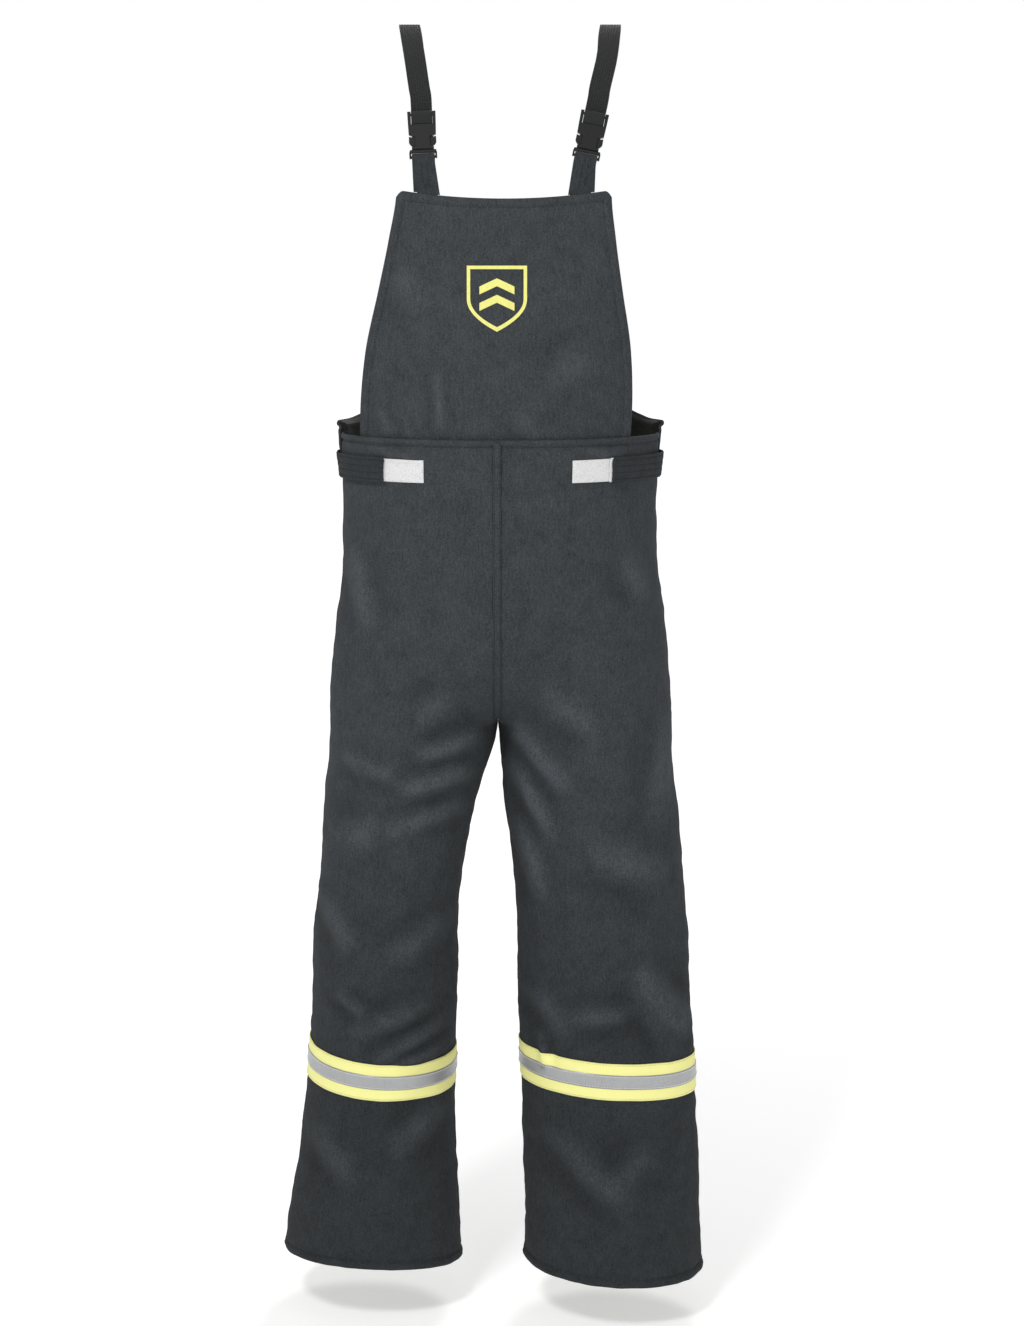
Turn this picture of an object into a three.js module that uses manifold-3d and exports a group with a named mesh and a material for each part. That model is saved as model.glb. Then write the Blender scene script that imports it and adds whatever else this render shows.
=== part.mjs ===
// Insulated bib overall of protective clothing, hung from its two suspenders.
// Millimetres, +Z up, +X to the wearer's left, the front facing -Y.
// The origin is midway between the two suspenders, at the underside of their crests.
import * as THREE from 'three';
import { mergeVertices } from 'three/addons/utils/BufferGeometryUtils.js';
import Module from 'manifold-3d';

const wasm = await Module();
wasm.setup();

// ---- Driving dimensions ----

const SHOULDER_TO_BIB = 203; // suspender crest down to the bib's upper corners
const BIB_HEIGHT = 304; // bib corners down to the waist seam
const FRONT_RISE = 380; // waist seam down to the crotch
const INSEAM = 745; // crotch down to the hem
const BIB_TUCK = 16; // the bib runs on behind the waist seam
const BIB_DIP = 11; // hollow of the bib's upper edge
const BIB_LEAN = 6; // sideways drift of the bib, right at the top and left at the waist
const BACK_SIDE_RISE = 14; // back waist edge above the waist seam, at the side
const BACK_PEAK = 66; // and the further rise of its peak at the centre back

const SHELL = 3.0; // quilted outer cloth
const LINING = 2.6; // felt lining
const FACING = 1.2; // facing tape
const PLY_GAP = 0.4; // between two plies that lie on each other
const LINING_GAP = 2.4; // the lining hangs loose inside
const TUCK_GAP = 2.4; // between the trousers' front and the bib behind it
const SEAM_GAP = 0.5; // between two panels that are sewn edge to edge
const SEAM_WIDTH = 10; // felled centre seams
const SEAM_HEIGHT = 1.2;
const SEAM_LIFT = 1.2;
const SEAM_ABOVE_CROTCH = 14;

const CENTRE_X = -3; // the rise seams
const WAIST_HALF_DEPTH = 140;
const CREST_HALF_DEPTH = 116; // half depth of the chest at the bib's upper edge
const CHEST_HALF_WIDTH = 205;
const RISE_BLEND = 150; // height over which the rise seam turns from the crotch to the front
const HIP_BLEND_BELOW = 70;
const HIP_BLEND_ABOVE = 230;

const VENT_DEPTH = 110; // side vent, from the waist down
const VENT_OPENING = 9; // half of its width at the waist
const VENT_FLARE = 7; // the back panel stands out there

const TRIM_WIDTH = 50;
const TRIM_TAPE = 19; // reflective tape on it
const TRIM_THICKNESS = 0.8;
const TRIM_GAP = 0.7;
const TRIM_ABOVE_HEM = 281; // trim centre
const HEM_FACING = 30;
const HEM_TILT = -0.065; // the rings of both legs slope a little to the wearer's left

const WEBBING_WIDTH = 25.5;
const WEBBING = 2.2;
const TAB_WIDTH = 28;
const TAB_FOOT_WIDTH = 33;
const TAB_LENGTH = 40; // before its foot is placed
const TAB_PLY = 2.0;
const ANCHOR_WIDTH = 38;
const ANCHOR_HEIGHT = 34;
const PATCH_PLY = 1.6;

const TAKEUP_WIDTH = 32;
const TAKEUP_THICKNESS = 2.6;
const TAB_LIFT = 1; // the tab off the back panel
const TAKEUP_BELOW_WAIST = 40; // its centre line
const PATCH_WIDTH = 28;
const PATCH_THICKNESS = 1.0;
const PATCH_INNER_X = 92; // end of the loop patch nearest the centre
const PATCH_LENGTH = 92;
const TAB_INNER_X = 140; // end of the take-up tab nearest the centre
const HOOK_LENGTH = 40;

const EMBLEM_WIDTH = 74;
const EMBLEM_HEIGHT = 80;
const EMBLEM_BELOW_BIB_TOP = 132;
const EMBLEM_THICKNESS = 0.5;

// Buckle, measured along the suspender from the bar that the tab is sewn round
const BAR_RADIUS = 1.7;
const FLANGE_FROM = 4.8;
const FLANGE_TO = 8.6;
const BUCKLE_WIDTH = 34;
const HOUSING_FROM = 9.1;
const HOUSING_TO = 55.5;
const HOUSING_THICKNESS = 8.4;
const MOUTH_WIDTH = 27;
const MOUTH_WALL = 3.4;
const PLATE_WIDTH = 19; // between the two side notches
const NOTCH_TO = 24.5;
const SHOULDER_AT = 27.5;
const CAVITY_WIDTH = 24.4;
const CAVITY_THICKNESS = 4.8;
const CAVITY_TO = 35.5;
const WINDOW_FROM = 39.5; // opening below the ladder bar
const LADDER_BAR = 52;
const RAIL_THICKNESS = 6;
const PRONG_THICKNESS = 3.8;
const TONGUE_WIDTH = 5;
const TONGUE_TO = 29;
const MALE_THICKNESS = 7;
const RUN_CLEARANCE = 0.5; // suspender behind the housing
const RUN_FROM = 20;
const STRAIGHT_TO = 76; // the suspender is straight this far above the bar

// ---- Heights that follow from them ----

const BIB_TOP_Z = -SHOULDER_TO_BIB;
const WAIST_Z = BIB_TOP_Z - BIB_HEIGHT;
const CROTCH_Z = WAIST_Z - FRONT_RISE;
const HEM_Z = CROTCH_Z - INSEAM;
const TAKEUP_Z = WAIST_Z - TAKEUP_BELOW_WAIST;
const TRIM_Z = HEM_Z + TRIM_ABOVE_HEM;

// ---- The two sides. Each leg has one girth and its own stance. ----

const LEG_SHARES = [0, 0.2, 0.375, 0.56, 0.71, 0.86, 1]; // from hem to crotch
const LEG_GIRTHS = [684, 656, 648, 655, 672, 705, 752];
const SIDES = [
  {
    name: 'right',
    sign: -1,
    centres: [-175, -167, -160, -154, -146, -132, -114],
    halfWidths: [120, 106, 99, 98, 95, 101, 109.5],
    hemForward: -8,
    hemFrontLift: 14,
    bar: new THREE.Vector3(-93, -98, -164),
    buckleTop: new THREE.Vector3(-95.5, -89, -110),
    tabFootX: -88.5,
    shoulder: [
      [-98, -78.8, -82], [-104, -62, -44], [-110, -33, -12], [-113, 0, 1.1], [-112, 52, -7],
      [-109.5, 90, -34], [-105, 112, -71], [-102.5, 127, -143], [-97, 133, -200],
    ],
    crossDepth: 0,
  },
  {
    name: 'left',
    sign: 1,
    centres: [154, 149, 144, 138, 131, 120, 112],
    halfWidths: [120, 118, 117, 115, 112, 115, 113.5],
    hemForward: 18,
    hemFrontLift: 0,
    bar: new THREE.Vector3(106, -97, -164),
    buckleTop: new THREE.Vector3(117.5, -88, -110),
    tabFootX: 100.5,
    shoulder: [
      [123, -77.4, -82], [132, -61, -44], [137, -33, -12], [139, 0, 1.1], [138.5, 52, -7],
      [137.5, 90, -34], [130, 112, -71], [116, 127, -143], [107, 133, -200],
    ],
    crossDepth: WEBBING + 3 * PLY_GAP,
  },
];

// ---- Curves through stations ----

// A smooth value over rising positions, held beyond the first and last.
function through(positions, values) {
  const curve = new THREE.CubicInterpolant(positions, values, 1);
  return (at) => curve.evaluate(at)[0];
}

const legHeights = LEG_SHARES.map((share) => HEM_Z + share * INSEAM);
for (const side of SIDES) {
  side.centre = through(legHeights, side.centres);
  side.halfWidth = through(legHeights, side.halfWidths);
  side.forward = through([HEM_Z, CROTCH_Z], [-side.hemForward, 0]);
}
const legGirth = through(legHeights, LEG_GIRTHS);
const hipHeights = [CROTCH_Z, WAIST_Z - 293, WAIST_Z - 193, WAIST_Z - 90, WAIST_Z, WAIST_Z + BACK_PEAK];
const hipHalfWidth = through(hipHeights, [224, 216, 206, 203, 204, 205]);
const hipHalfDepth = through(hipHeights, [128, 142, 149, 146, WAIST_HALF_DEPTH, 136]);
const bibHeights = [0, 0.16, 0.36, 0.6, 0.8, 1].map((share) => WAIST_Z + share * BIB_HEIGHT);
const bibHalfWidth = through(bibHeights, [171, 171, 166, 152, 141, 133]);
const chestHalfDepth = through([WAIST_Z, BIB_TOP_Z], [WAIST_HALF_DEPTH, CREST_HALF_DEPTH]);

const clamp01 = (t) => Math.min(1, Math.max(0, t));
const smooth = (t) => clamp01(t) ** 2 * (3 - 2 * clamp01(t));
const mix = THREE.MathUtils.lerp;

// ---- The trousers' surface ----

// Half depth of a leg: what its girth leaves at its half width.
function legHalfDepth(side, z) {
  const halfWidth = side.halfWidth(z);
  return Math.sqrt(2 * (legGirth(z) / (2 * Math.PI)) ** 2 - halfWidth ** 2);
}

// Hems and trims slope sideways, and one hem is lifted in front. The slope fades out by mid thigh.
function drape(side, z, x, y) {
  const fade = smooth((CROTCH_Z - z) / (INSEAM * 0.5));
  const front = clamp01((side.forward(z) - y) / legHalfDepth(side, z));
  const low = smooth((HEM_Z + INSEAM * 0.2 - z) / (INSEAM * 0.2));
  return z + fade * HEM_TILT * (x - side.centre(z)) + low * side.hemFrontLift * front;
}

// A point round a leg. The angle starts at the wearer's left; out is the distance outside the cloth.
function legPoint(side, angle, z, out) {
  const x = side.centre(z) + (side.halfWidth(z) + out) * Math.cos(angle);
  const y = side.forward(z) + (legHalfDepth(side, z) + out) * Math.sin(angle);
  return new THREE.Vector3(x, y, drape(side, z, x, y));
}

// A point of one panel. across runs from the inseam or rise seam (0) to the side seam (1),
// face is -1 for the front and 1 for the back.
function panelPoint(side, face, across, z, out) {
  const gap = SEAM_GAP / 2;
  const turn = across * Math.PI;
  const legX = side.centre(z) - side.sign * (side.halfWidth(z) + out) * Math.cos(turn);
  const legY = side.forward(z) + face * (gap + (legHalfDepth(side, z) + out - gap) * Math.sin(turn));
  const hipX = mix(CENTRE_X, 0, across) +
    side.sign * (gap + (hipHalfWidth(z) + out - gap) * Math.sin(turn / 2));
  const hipY = face * (gap + (hipHalfDepth(z) + out - gap) * Math.cos(turn / 2));
  const up = clamp01((z - CROTCH_Z) / RISE_BLEND);
  const atSeam = Math.sqrt(1 - (1 - up) ** 2);
  const away = smooth((z - CROTCH_Z + HIP_BLEND_BELOW) / (HIP_BLEND_BELOW + HIP_BLEND_ABOVE));
  const share = mix(atSeam, away, smooth(across / 0.45));
  const x = mix(legX, hipX, share);
  const y = mix(legY, hipY, share);
  return new THREE.Vector3(x, y, drape(side, z, x, y));
}

// ---- Solids ----

// A cuboid bent into a sheet: place(u, v, w) gives the point for shares of its three edges.
function bent(place, across, along) {
  const geometry = new THREE.BoxGeometry(1, 1, 1, across, along, 1);
  const points = geometry.getAttribute('position');
  for (let i = 0; i < points.count; i++) {
    const at = place(points.getX(i) + 0.5, points.getY(i) + 0.5, points.getZ(i) + 0.5);
    points.setXYZ(i, at.x, at.y, at.z);
  }
  return facingOut(geometry);
}

// A closed band: place(angle, v, w) gives the point for an angle round it and shares of its section.
function band(place, segments) {
  const section = [[1, 0], [2, 0], [2, 1], [1, 1], [1, 0]].map(([r, h]) => new THREE.Vector2(r, h));
  const geometry = new THREE.LatheGeometry(section, segments);
  const points = geometry.getAttribute('position');
  for (let i = 0; i < points.count; i++) {
    const radius = Math.hypot(points.getX(i), points.getZ(i));
    const angle = Math.atan2(points.getZ(i), points.getX(i));
    const at = place(angle, points.getY(i), radius - 1);
    points.setXYZ(i, at.x, at.y, at.z);
  }
  return facingOut(geometry);
}

// The same surface with its faces turned outwards, whichever way the bending left them.
function facingOut(geometry) {
  geometry.deleteAttribute('normal');
  geometry.deleteAttribute('uv');
  const merged = mergeVertices(geometry, 1e-3);
  const points = merged.getAttribute('position');
  const index = merged.index.array;
  const [a, b, c] = [new THREE.Vector3(), new THREE.Vector3(), new THREE.Vector3()];
  let volume = 0;
  for (let i = 0; i < index.length; i += 3) {
    a.fromBufferAttribute(points, index[i]);
    b.fromBufferAttribute(points, index[i + 1]);
    c.fromBufferAttribute(points, index[i + 2]);
    volume += a.dot(b.cross(c));
  }
  if (volume < 0) {
    for (let i = 0; i < index.length; i += 3) {
      [index[i + 1], index[i + 2]] = [index[i + 2], index[i + 1]];
    }
  }
  return merged;
}

// A ribbon along a curve. It lies across the X axis, and turns to lie across endAcross in its last stretch.
function ribbon(curve, width, thickness, steps, endAcross) {
  return bent((u, v, w) => {
    const at = curve.getPointAt(v);
    const along = curve.getTangentAt(v);
    const across = new THREE.Vector3(1, 0, 0).lerp(endAcross, smooth((v - 0.8) / 0.18));
    across.addScaledVector(along, -along.dot(across)).normalize();
    const inward = new THREE.Vector3().crossVectors(along, across);
    return at.addScaledVector(across, (u - 0.5) * width).addScaledVector(inward, (w - 0.5) * thickness);
  }, 1, steps);
}

function solidOf(geometry) {
  const merged = facingOut(geometry);
  const vertProperties = merged.getAttribute('position').array;
  const triVerts = new Uint32Array(merged.index.array);
  return new wasm.Manifold(new wasm.Mesh({ numProp: 3, vertProperties, triVerts }));
}

function geometryOf(solid) {
  const mesh = solid.getMesh();
  const geometry = new THREE.BufferGeometry();
  geometry.setAttribute('position', new THREE.BufferAttribute(mesh.vertProperties, 3));
  geometry.setIndex(new THREE.BufferAttribute(mesh.triVerts, 1));
  return geometry;
}

function join(first, ...others) {
  return geometryOf(others.reduce((whole, other) => whole.add(solidOf(other)), solidOf(first)));
}

function cut(body, ...tools) {
  return geometryOf(tools.reduce((left, tool) => left.subtract(solidOf(tool)), solidOf(body)));
}

// A block in the buckle's frame: x across, z along the suspender, both as [from, to].
function block([x0, x1], [z0, z1], thickness, y = 0) {
  const geometry = new THREE.BoxGeometry(x1 - x0, thickness, z1 - z0);
  return geometry.translate((x0 + x1) / 2, y, (z0 + z1) / 2);
}

// An outline in the buckle's x-z plane, given a thickness along y.
function plate(outline, thickness, bevel = 0) {
  const shape = new THREE.Shape(outline.map(([x, z]) => new THREE.Vector2(x, z)));
  const geometry = new THREE.ExtrudeGeometry(shape, {
    depth: thickness - 2 * bevel,
    bevelEnabled: bevel > 0,
    bevelThickness: bevel,
    bevelSize: bevel,
    bevelOffset: -bevel,
    bevelSegments: 1,
  });
  return geometry.rotateX(Math.PI / 2).translate(0, thickness / 2 - bevel, 0);
}

// A loop of cloth or webbing round a bar at height 0, seen from the side and given a width along x.
// Its two plies run on, closed up, down to the given foot.
function loop(width, ply, foot, closed) {
  const radius = ply + BAR_RADIUS + PLY_GAP;
  const shape = new THREE.Shape();
  shape.moveTo(-closed, foot);
  shape.lineTo(closed, foot);
  shape.lineTo(closed, Math.max(foot + 1, -2 * radius));
  shape.absarc(0, 0, radius, -Math.PI / 6, Math.PI * 7 / 6, false);
  shape.lineTo(-closed, Math.max(foot + 1, -2 * radius));
  const hole = new THREE.Path();
  hole.absarc(0, 0, BAR_RADIUS + PLY_GAP, 0, 2 * Math.PI, true);
  shape.holes.push(hole);
  const geometry = new THREE.ExtrudeGeometry(shape, { depth: width, bevelEnabled: false, curveSegments: 7 });
  return geometry.translate(0, 0, -width / 2).rotateX(Math.PI / 2).rotateZ(Math.PI / 2);
}

// ---- Materials ----

const material = (color, roughness, metalness = 0) =>
  new THREE.MeshStandardMaterial({ color, roughness, metalness });
const SHELL_CLOTH = material(0x3f4347, 0.92);
const LINING_FELT = material(0xc8c07a, 0.95);
const FACING_TAPE = material(0x1c1d1f, 0.85);
const ELASTIC = material(0x2b2c2d, 0.85);
const PLASTIC = material(0x262728, 0.45);
const LIME_TAPE = material(0xf0ee6a, 0.8);
const SILVER_TAPE = material(0xa3a6a8, 0.35, 0.3);
const LOOP_WHITE = material(0xe9eaec, 0.9);
const PRINT = material(0xf4f07a, 0.6);

const garment = new THREE.Group();
function add(name, geometry, finish, parent = garment) {
  const mesh = new THREE.Mesh(geometry, finish);
  mesh.name = name;
  parent.add(mesh);
  return mesh;
}

// ---- Trousers: four shell panels and four lining panels ----

const LEG_ROWS = 11; // rows of faces from hem to crotch
const RISE_ROWS = 7; // and on up to the waist
const PANEL_COLUMNS = 10;
const LINING_OUT = -SHELL - LINING_GAP;
const FACING_OUT = LINING_OUT - LINING - LINING_GAP;

// Upper edge of a panel. The back rises to a peak at the centre.
function topEdge(face, across) {
  const rise = face > 0 ? BACK_SIDE_RISE + BACK_PEAK * smooth(1 - across * 1.15) : 0;
  return WAIST_Z + rise;
}

// Height of a panel's row, for a share of its rows. One row lies at the crotch.
function rowHeight(face, across, v) {
  const row = v * (LEG_ROWS + RISE_ROWS);
  if (row <= LEG_ROWS) return mix(HEM_Z, CROTCH_Z, row / LEG_ROWS);
  return mix(CROTCH_Z, topEdge(face, across), (row - LEG_ROWS) / RISE_ROWS);
}

// Side vents: both panels stop short of the side seam there, and the back one stands out.
const ventOpening = (z) => clamp01((z - (WAIST_Z - VENT_DEPTH)) / VENT_DEPTH) ** 2;
const ventFlare = (across, z) => VENT_FLARE * ventOpening(z) * clamp01((across - 0.6) / 0.4);
const ventShare = (z) =>
  1 - ventOpening(z) * VENT_OPENING * 4 / (Math.PI * (hipHalfWidth(z) + hipHalfDepth(z)));

function vented(side, face, across, z, out) {
  const flare = face > 0 ? ventFlare(across, z) : 0;
  return panelPoint(side, face, across * ventShare(z), z, out + flare);
}

// A ply of a panel from out to out - thickness, cut shorter than the panel at both ends.
function ply(side, face, out, thickness, above, below) {
  return bent((u, v, w) => {
    const z = Math.min(topEdge(face, u) - below, Math.max(HEM_Z + above, rowHeight(face, u, v)));
    return vented(side, face, u, z, out - thickness * (1 - w));
  }, PANEL_COLUMNS, LEG_ROWS + RISE_ROWS);
}

for (const side of SIDES) {
  for (const [face, word] of [[-1, 'front'], [1, 'back']]) {
    add(`${side.name}_${word}_panel`, ply(side, face, 0, SHELL, 0, 0), SHELL_CLOTH);
    const below = face < 0 ? BIB_TUCK + 6 : 1;
    add(`${side.name}_${word}_lining`, ply(side, face, LINING_OUT, LINING, 2, below), LINING_FELT);
  }
  const facing = bent((u, v, w) => {
    const z = topEdge(1, u) - 2 - 36 * (1 - v);
    return vented(side, 1, mix(0.004, 0.985, u), z, FACING_OUT - FACING * (1 - w));
  }, PANEL_COLUMNS, 1);
  add(`${side.name}_waist_facing`, facing, FACING_TAPE);
}

// ---- Felled rise seams, from the waist down into the fork of the legs ----

// x is measured from the seam. Low down the seam is creased where the legs' fronts turn in towards it.
function seamPoint(face, x, z, out) {
  const middle = face * panelPoint(SIDES[1], face, 0, z, 0).y;
  const beside = panelPoint(SIDES[x < 0 ? 0 : 1], face, SEAM_WIDTH / 800, z, 0);
  const slope = Math.max(0, (face * beside.y - middle) / Math.abs(beside.x - CENTRE_X));
  const lift = out * Math.sqrt(1 + slope * slope);
  return new THREE.Vector3(CENTRE_X + x, face * (middle + slope * Math.abs(x) + lift), z);
}

for (const [face, word] of [[-1, 'front'], [1, 'back']]) {
  const seam = bent((u, v, w) => {
    const z = mix(CROTCH_Z + SEAM_ABOVE_CROTCH, topEdge(face, 0) - 3, v ** 1.5);
    return seamPoint(face, (u - 0.5) * SEAM_WIDTH, z, SEAM_LIFT + w * SEAM_HEIGHT);
  }, 2, 24);
  add(`${word}_rise_seam`, seam, SHELL_CLOTH);
}

// ---- Leg ends: hem facings and reflective trims ----

function legBand(side, z, height, out, thickness) {
  const place = (angle, v, w) => legPoint(side, angle, z + (v - 0.5) * height, out + w * thickness);
  return band(place, 2 * PANEL_COLUMNS);
}

for (const side of SIDES) {
  const hem = legBand(side, HEM_Z + 2 + HEM_FACING / 2, HEM_FACING, FACING_OUT - FACING, FACING);
  add(`${side.name}_hem_facing`, hem, FACING_TAPE);
  const base = legBand(side, TRIM_Z, TRIM_WIDTH, TRIM_GAP, TRIM_THICKNESS);
  add(`${side.name}_trim_base`, base, LIME_TAPE);
  const tape = legBand(side, TRIM_Z, TRIM_TAPE, TRIM_GAP + TRIM_THICKNESS + PLY_GAP, TRIM_THICKNESS / 2);
  add(`${side.name}_trim_reflective`, tape, SILVER_TAPE);
}

// ---- Bib ----

const BIB_OUT = -SHELL - TUCK_GAP;

// A point of the bib. across runs from -1 at the wearer's right to 1, up from 0 at the foot to 1.
function bibPoint(across, up, out) {
  const top = BIB_TOP_Z - BIB_DIP * (1 - across ** 2);
  const z = mix(WAIST_Z - BIB_TUCK, top, up);
  const lean = mix(-BIB_LEAN, BIB_LEAN, clamp01((z - WAIST_Z) / BIB_HEIGHT));
  return onChest(lean + across * bibHalfWidth(z), z, out);
}

// The point of the chest's front surface at x and z.
function onChest(x, z, out) {
  const depth = chestHalfDepth(z) + out;
  return new THREE.Vector3(x, -depth * Math.sqrt(1 - (x / (CHEST_HALF_WIDTH + out)) ** 2), z);
}

function bibPly(out, thickness, inset) {
  return bent((u, v, w) => {
    const across = (2 * u - 1) * (1 - inset);
    return bibPoint(across, v * (1 - inset), out - thickness * (1 - w));
  }, 12, 10);
}

add('bib_panel', bibPly(BIB_OUT, SHELL, 0), SHELL_CLOTH);
add('bib_lining', bibPly(BIB_OUT - SHELL - LINING_GAP, LINING, 0.02), LINING_FELT);
const emblem = bent((u, v, w) => {
  const z = BIB_TOP_Z - EMBLEM_BELOW_BIB_TOP + (v - 0.5) * EMBLEM_HEIGHT;
  return onChest(CENTRE_X + (u - 0.5) * EMBLEM_WIDTH, z, BIB_OUT + PLY_GAP + w * EMBLEM_THICKNESS);
}, 6, 1);
add('bib_emblem', emblem, PRINT);

// ---- Take-up straps at the waist ----

// A point round the waist. The turn starts at the centre front and is a right angle at the side.
function waistPoint(side, turn, z, out) {
  const quarter = turn / (Math.PI / 2);
  return quarter <= 1 ? panelPoint(side, -1, quarter, z, out) : panelPoint(side, 1, 2 - quarter, z, out);
}

// A strip that lies round the waist between two turns.
function waistStrip(side, from, to, z, height, outAt, thickness, steps) {
  return bent((u, v, w) => {
    const turn = mix(from, to, u);
    const at = z + (v - 0.5) * height;
    return waistPoint(side, turn, at, outAt(turn, at) + w * thickness);
  }, steps, 1);
}

const turnAt = (x) => Math.asin(x / hipHalfWidth(TAKEUP_Z));
const ROOT_TURN = THREE.MathUtils.degToRad(101); // hinge line of the tab, behind the side
const ANCHOR_TURN = THREE.MathUtils.degToRad(117);
const PATCH_OUT = PLY_GAP;
const HOOK_OUT = PATCH_OUT + PATCH_THICKNESS + PLY_GAP;
const TAB_OUT = HOOK_OUT + PATCH_THICKNESS + PLY_GAP;

// The tab lies on its hook in front, and from the vent on, on the back panel.
function tabOut(turn, z) {
  const quarter = turn / (Math.PI / 2);
  const edge = mix(TAB_OUT, TAB_LIFT + ventFlare(1, z), clamp01((quarter - 0.7) / 0.25));
  return quarter < 1 ? edge : TAB_LIFT + ventFlare((2 - quarter) / ventShare(z), z);
}

for (const side of SIDES) {
  const inner = turnAt(TAB_INNER_X);
  const strip = (from, to, height, outAt, thickness, steps) =>
    waistStrip(side, from, to, TAKEUP_Z, height, outAt, thickness, steps);
  const patchTurns = [PATCH_INNER_X, PATCH_INNER_X + PATCH_LENGTH].map(turnAt);
  const patch = strip(...patchTurns, PATCH_WIDTH, () => PATCH_OUT, PATCH_THICKNESS, 8);
  add(`${side.name}_loop_patch`, patch, LOOP_WHITE);
  const hookEnd = turnAt(TAB_INNER_X + HOOK_LENGTH);
  const hook = strip(inner, hookEnd, TAKEUP_WIDTH - 4, () => HOOK_OUT, PATCH_THICKNESS, 6);
  add(`${side.name}_hook_pad`, hook, LOOP_WHITE);
  const tab = strip(inner, ROOT_TURN, TAKEUP_WIDTH, tabOut, TAKEUP_THICKNESS, 14);
  add(`${side.name}_takeup_tab`, tab, SHELL_CLOTH);
  const anchor = strip(ROOT_TURN + 0.004, ANCHOR_TURN, TAKEUP_WIDTH, tabOut, TAKEUP_THICKNESS, 4);
  add(`${side.name}_takeup_anchor`, anchor, SHELL_CLOTH);
}

// ---- Suspenders and their buckles ----

// The buckle's frame: z along the suspender, x across it, y to its back.
function buckleFrame(side) {
  const up = side.buckleTop.clone().sub(side.bar).normalize();
  const across = new THREE.Vector3(1, 0, 0).addScaledVector(up, -up.x).normalize();
  const back = new THREE.Vector3().crossVectors(up, across);
  const frame = new THREE.Group();
  frame.position.copy(side.bar);
  frame.quaternion.setFromRotationMatrix(new THREE.Matrix4().makeBasis(across, back, up));
  garment.add(frame);
  return { frame, up, back };
}

const mirrored = (half) => [...half, ...half.map(([x, z]) => [-x, z]).reverse()];

// Male half: the bar that the tab is sewn round, the flange and the guide tongue.
function maleHalf() {
  const half = BUCKLE_WIDTH / 2;
  const post = 2.2;
  const flange = [[-half, FLANGE_FROM], [half, FLANGE_FROM], [half - 1, FLANGE_TO], [1 - half, FLANGE_TO]];
  return join(
    plate(flange, MALE_THICKNESS, 0.6),
    block([-half, post - half], [-BAR_RADIUS, FLANGE_FROM + 1], 4),
    block([half - post, half], [-BAR_RADIUS, FLANGE_FROM + 1], 4),
    crossBar(),
    block([-TONGUE_WIDTH / 2, TONGUE_WIDTH / 2], [FLANGE_TO - 1, TONGUE_TO], 3),
  );
}

// One sprung prong, on the side given by sign. Its tab fills the housing's notch.
function prong(sign) {
  const outline = [
    [8.6, FLANGE_TO + PLY_GAP], [11.2, FLANGE_TO + PLY_GAP], [11.6, HOUSING_FROM + MOUTH_WALL + 0.8],
    [14.6, 14.2], [16.8, 17.6], [16.6, 25.2], [13.2, 24.2], [11.7, 23.6],
    [11.7, 30.5], [10.4, 33], [9.2, 33], [8.8, 30.5],
  ];
  const ordered = outline.map(([x, z]) => [sign * x, z]);
  return plate(sign > 0 ? ordered : ordered.reverse(), PRONG_THICKNESS);
}

// Female half: a flat housing with side notches, its cavity, and two rails with the ladder bar.
function housing() {
  const outline = mirrored([
    [MOUTH_WIDTH / 2, HOUSING_FROM], [MOUTH_WIDTH / 2, HOUSING_FROM + MOUTH_WALL],
    [PLATE_WIDTH / 2, HOUSING_FROM + MOUTH_WALL + 0.9], [PLATE_WIDTH / 2, NOTCH_TO],
    [BUCKLE_WIDTH / 2 - 0.4, SHOULDER_AT], [BUCKLE_WIDTH / 2, WINDOW_FROM],
    [BUCKLE_WIDTH / 2 + 0.3, HOUSING_TO],
  ]);
  const cavity = CAVITY_WIDTH / 2;
  const window = WEBBING_WIDTH / 2 + 0.6;
  const shaving = (y) => block([-BUCKLE_WIDTH, BUCKLE_WIDTH], [WINDOW_FROM, HOUSING_TO + 1], 6, y);
  const shell = cut(
    plate(outline, HOUSING_THICKNESS, 0.7),
    block([-cavity, cavity], [HOUSING_FROM - 1, CAVITY_TO], CAVITY_THICKNESS),
    block([-window, window], [WINDOW_FROM, HOUSING_TO + 1], HOUSING_THICKNESS + 2),
    shaving(-RAIL_THICKNESS / 2 - 3),
    shaving(RAIL_THICKNESS / 2 + 3),
  );
  return join(shell, crossBar().translate(0, 0, LADDER_BAR));
}

const crossBar = () =>
  new THREE.CylinderGeometry(BAR_RADIUS, BAR_RADIUS, BUCKLE_WIDTH - 1, 12).rotateZ(Math.PI / 2);

// The suspender tab: a loop round the male half's bar whose foot is moved onto the bib's upper edge.
function strapTab(side, frame) {
  const geometry = loop(TAB_WIDTH, TAB_PLY, -TAB_LENGTH, TAB_PLY + 0.1);
  const points = geometry.getAttribute('position');
  for (let i = 0; i < points.count; i++) {
    if (points.getZ(i) > 1 - TAB_LENGTH) continue;
    const x = side.tabFootX + points.getX(i) * TAB_FOOT_WIDTH / TAB_WIDTH;
    const across = (x - BIB_LEAN) / bibHalfWidth(BIB_TOP_Z);
    const foot = bibPoint(across, 1, BIB_OUT - SHELL / 2 - points.getY(i));
    foot.z += SEAM_GAP;
    points.setXYZ(i, ...frame.worldToLocal(foot).toArray());
  }
  return geometry;
}

const RUN_LIFT = HOUSING_THICKNESS / 2 + RUN_CLEARANCE + WEBBING / 2;
const WRAP_FOOT = WINDOW_FROM + 1 - LADDER_BAR;
const BACK_OUT = PLY_GAP + WEBBING / 2;
const CROSS_Z = WAIST_Z + BACK_PEAK + 66; // where the suspenders cross
const ANCHOR_X = 44; // their ends, from the centre
const ANCHOR_Z = WAIST_Z + 8;

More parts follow.
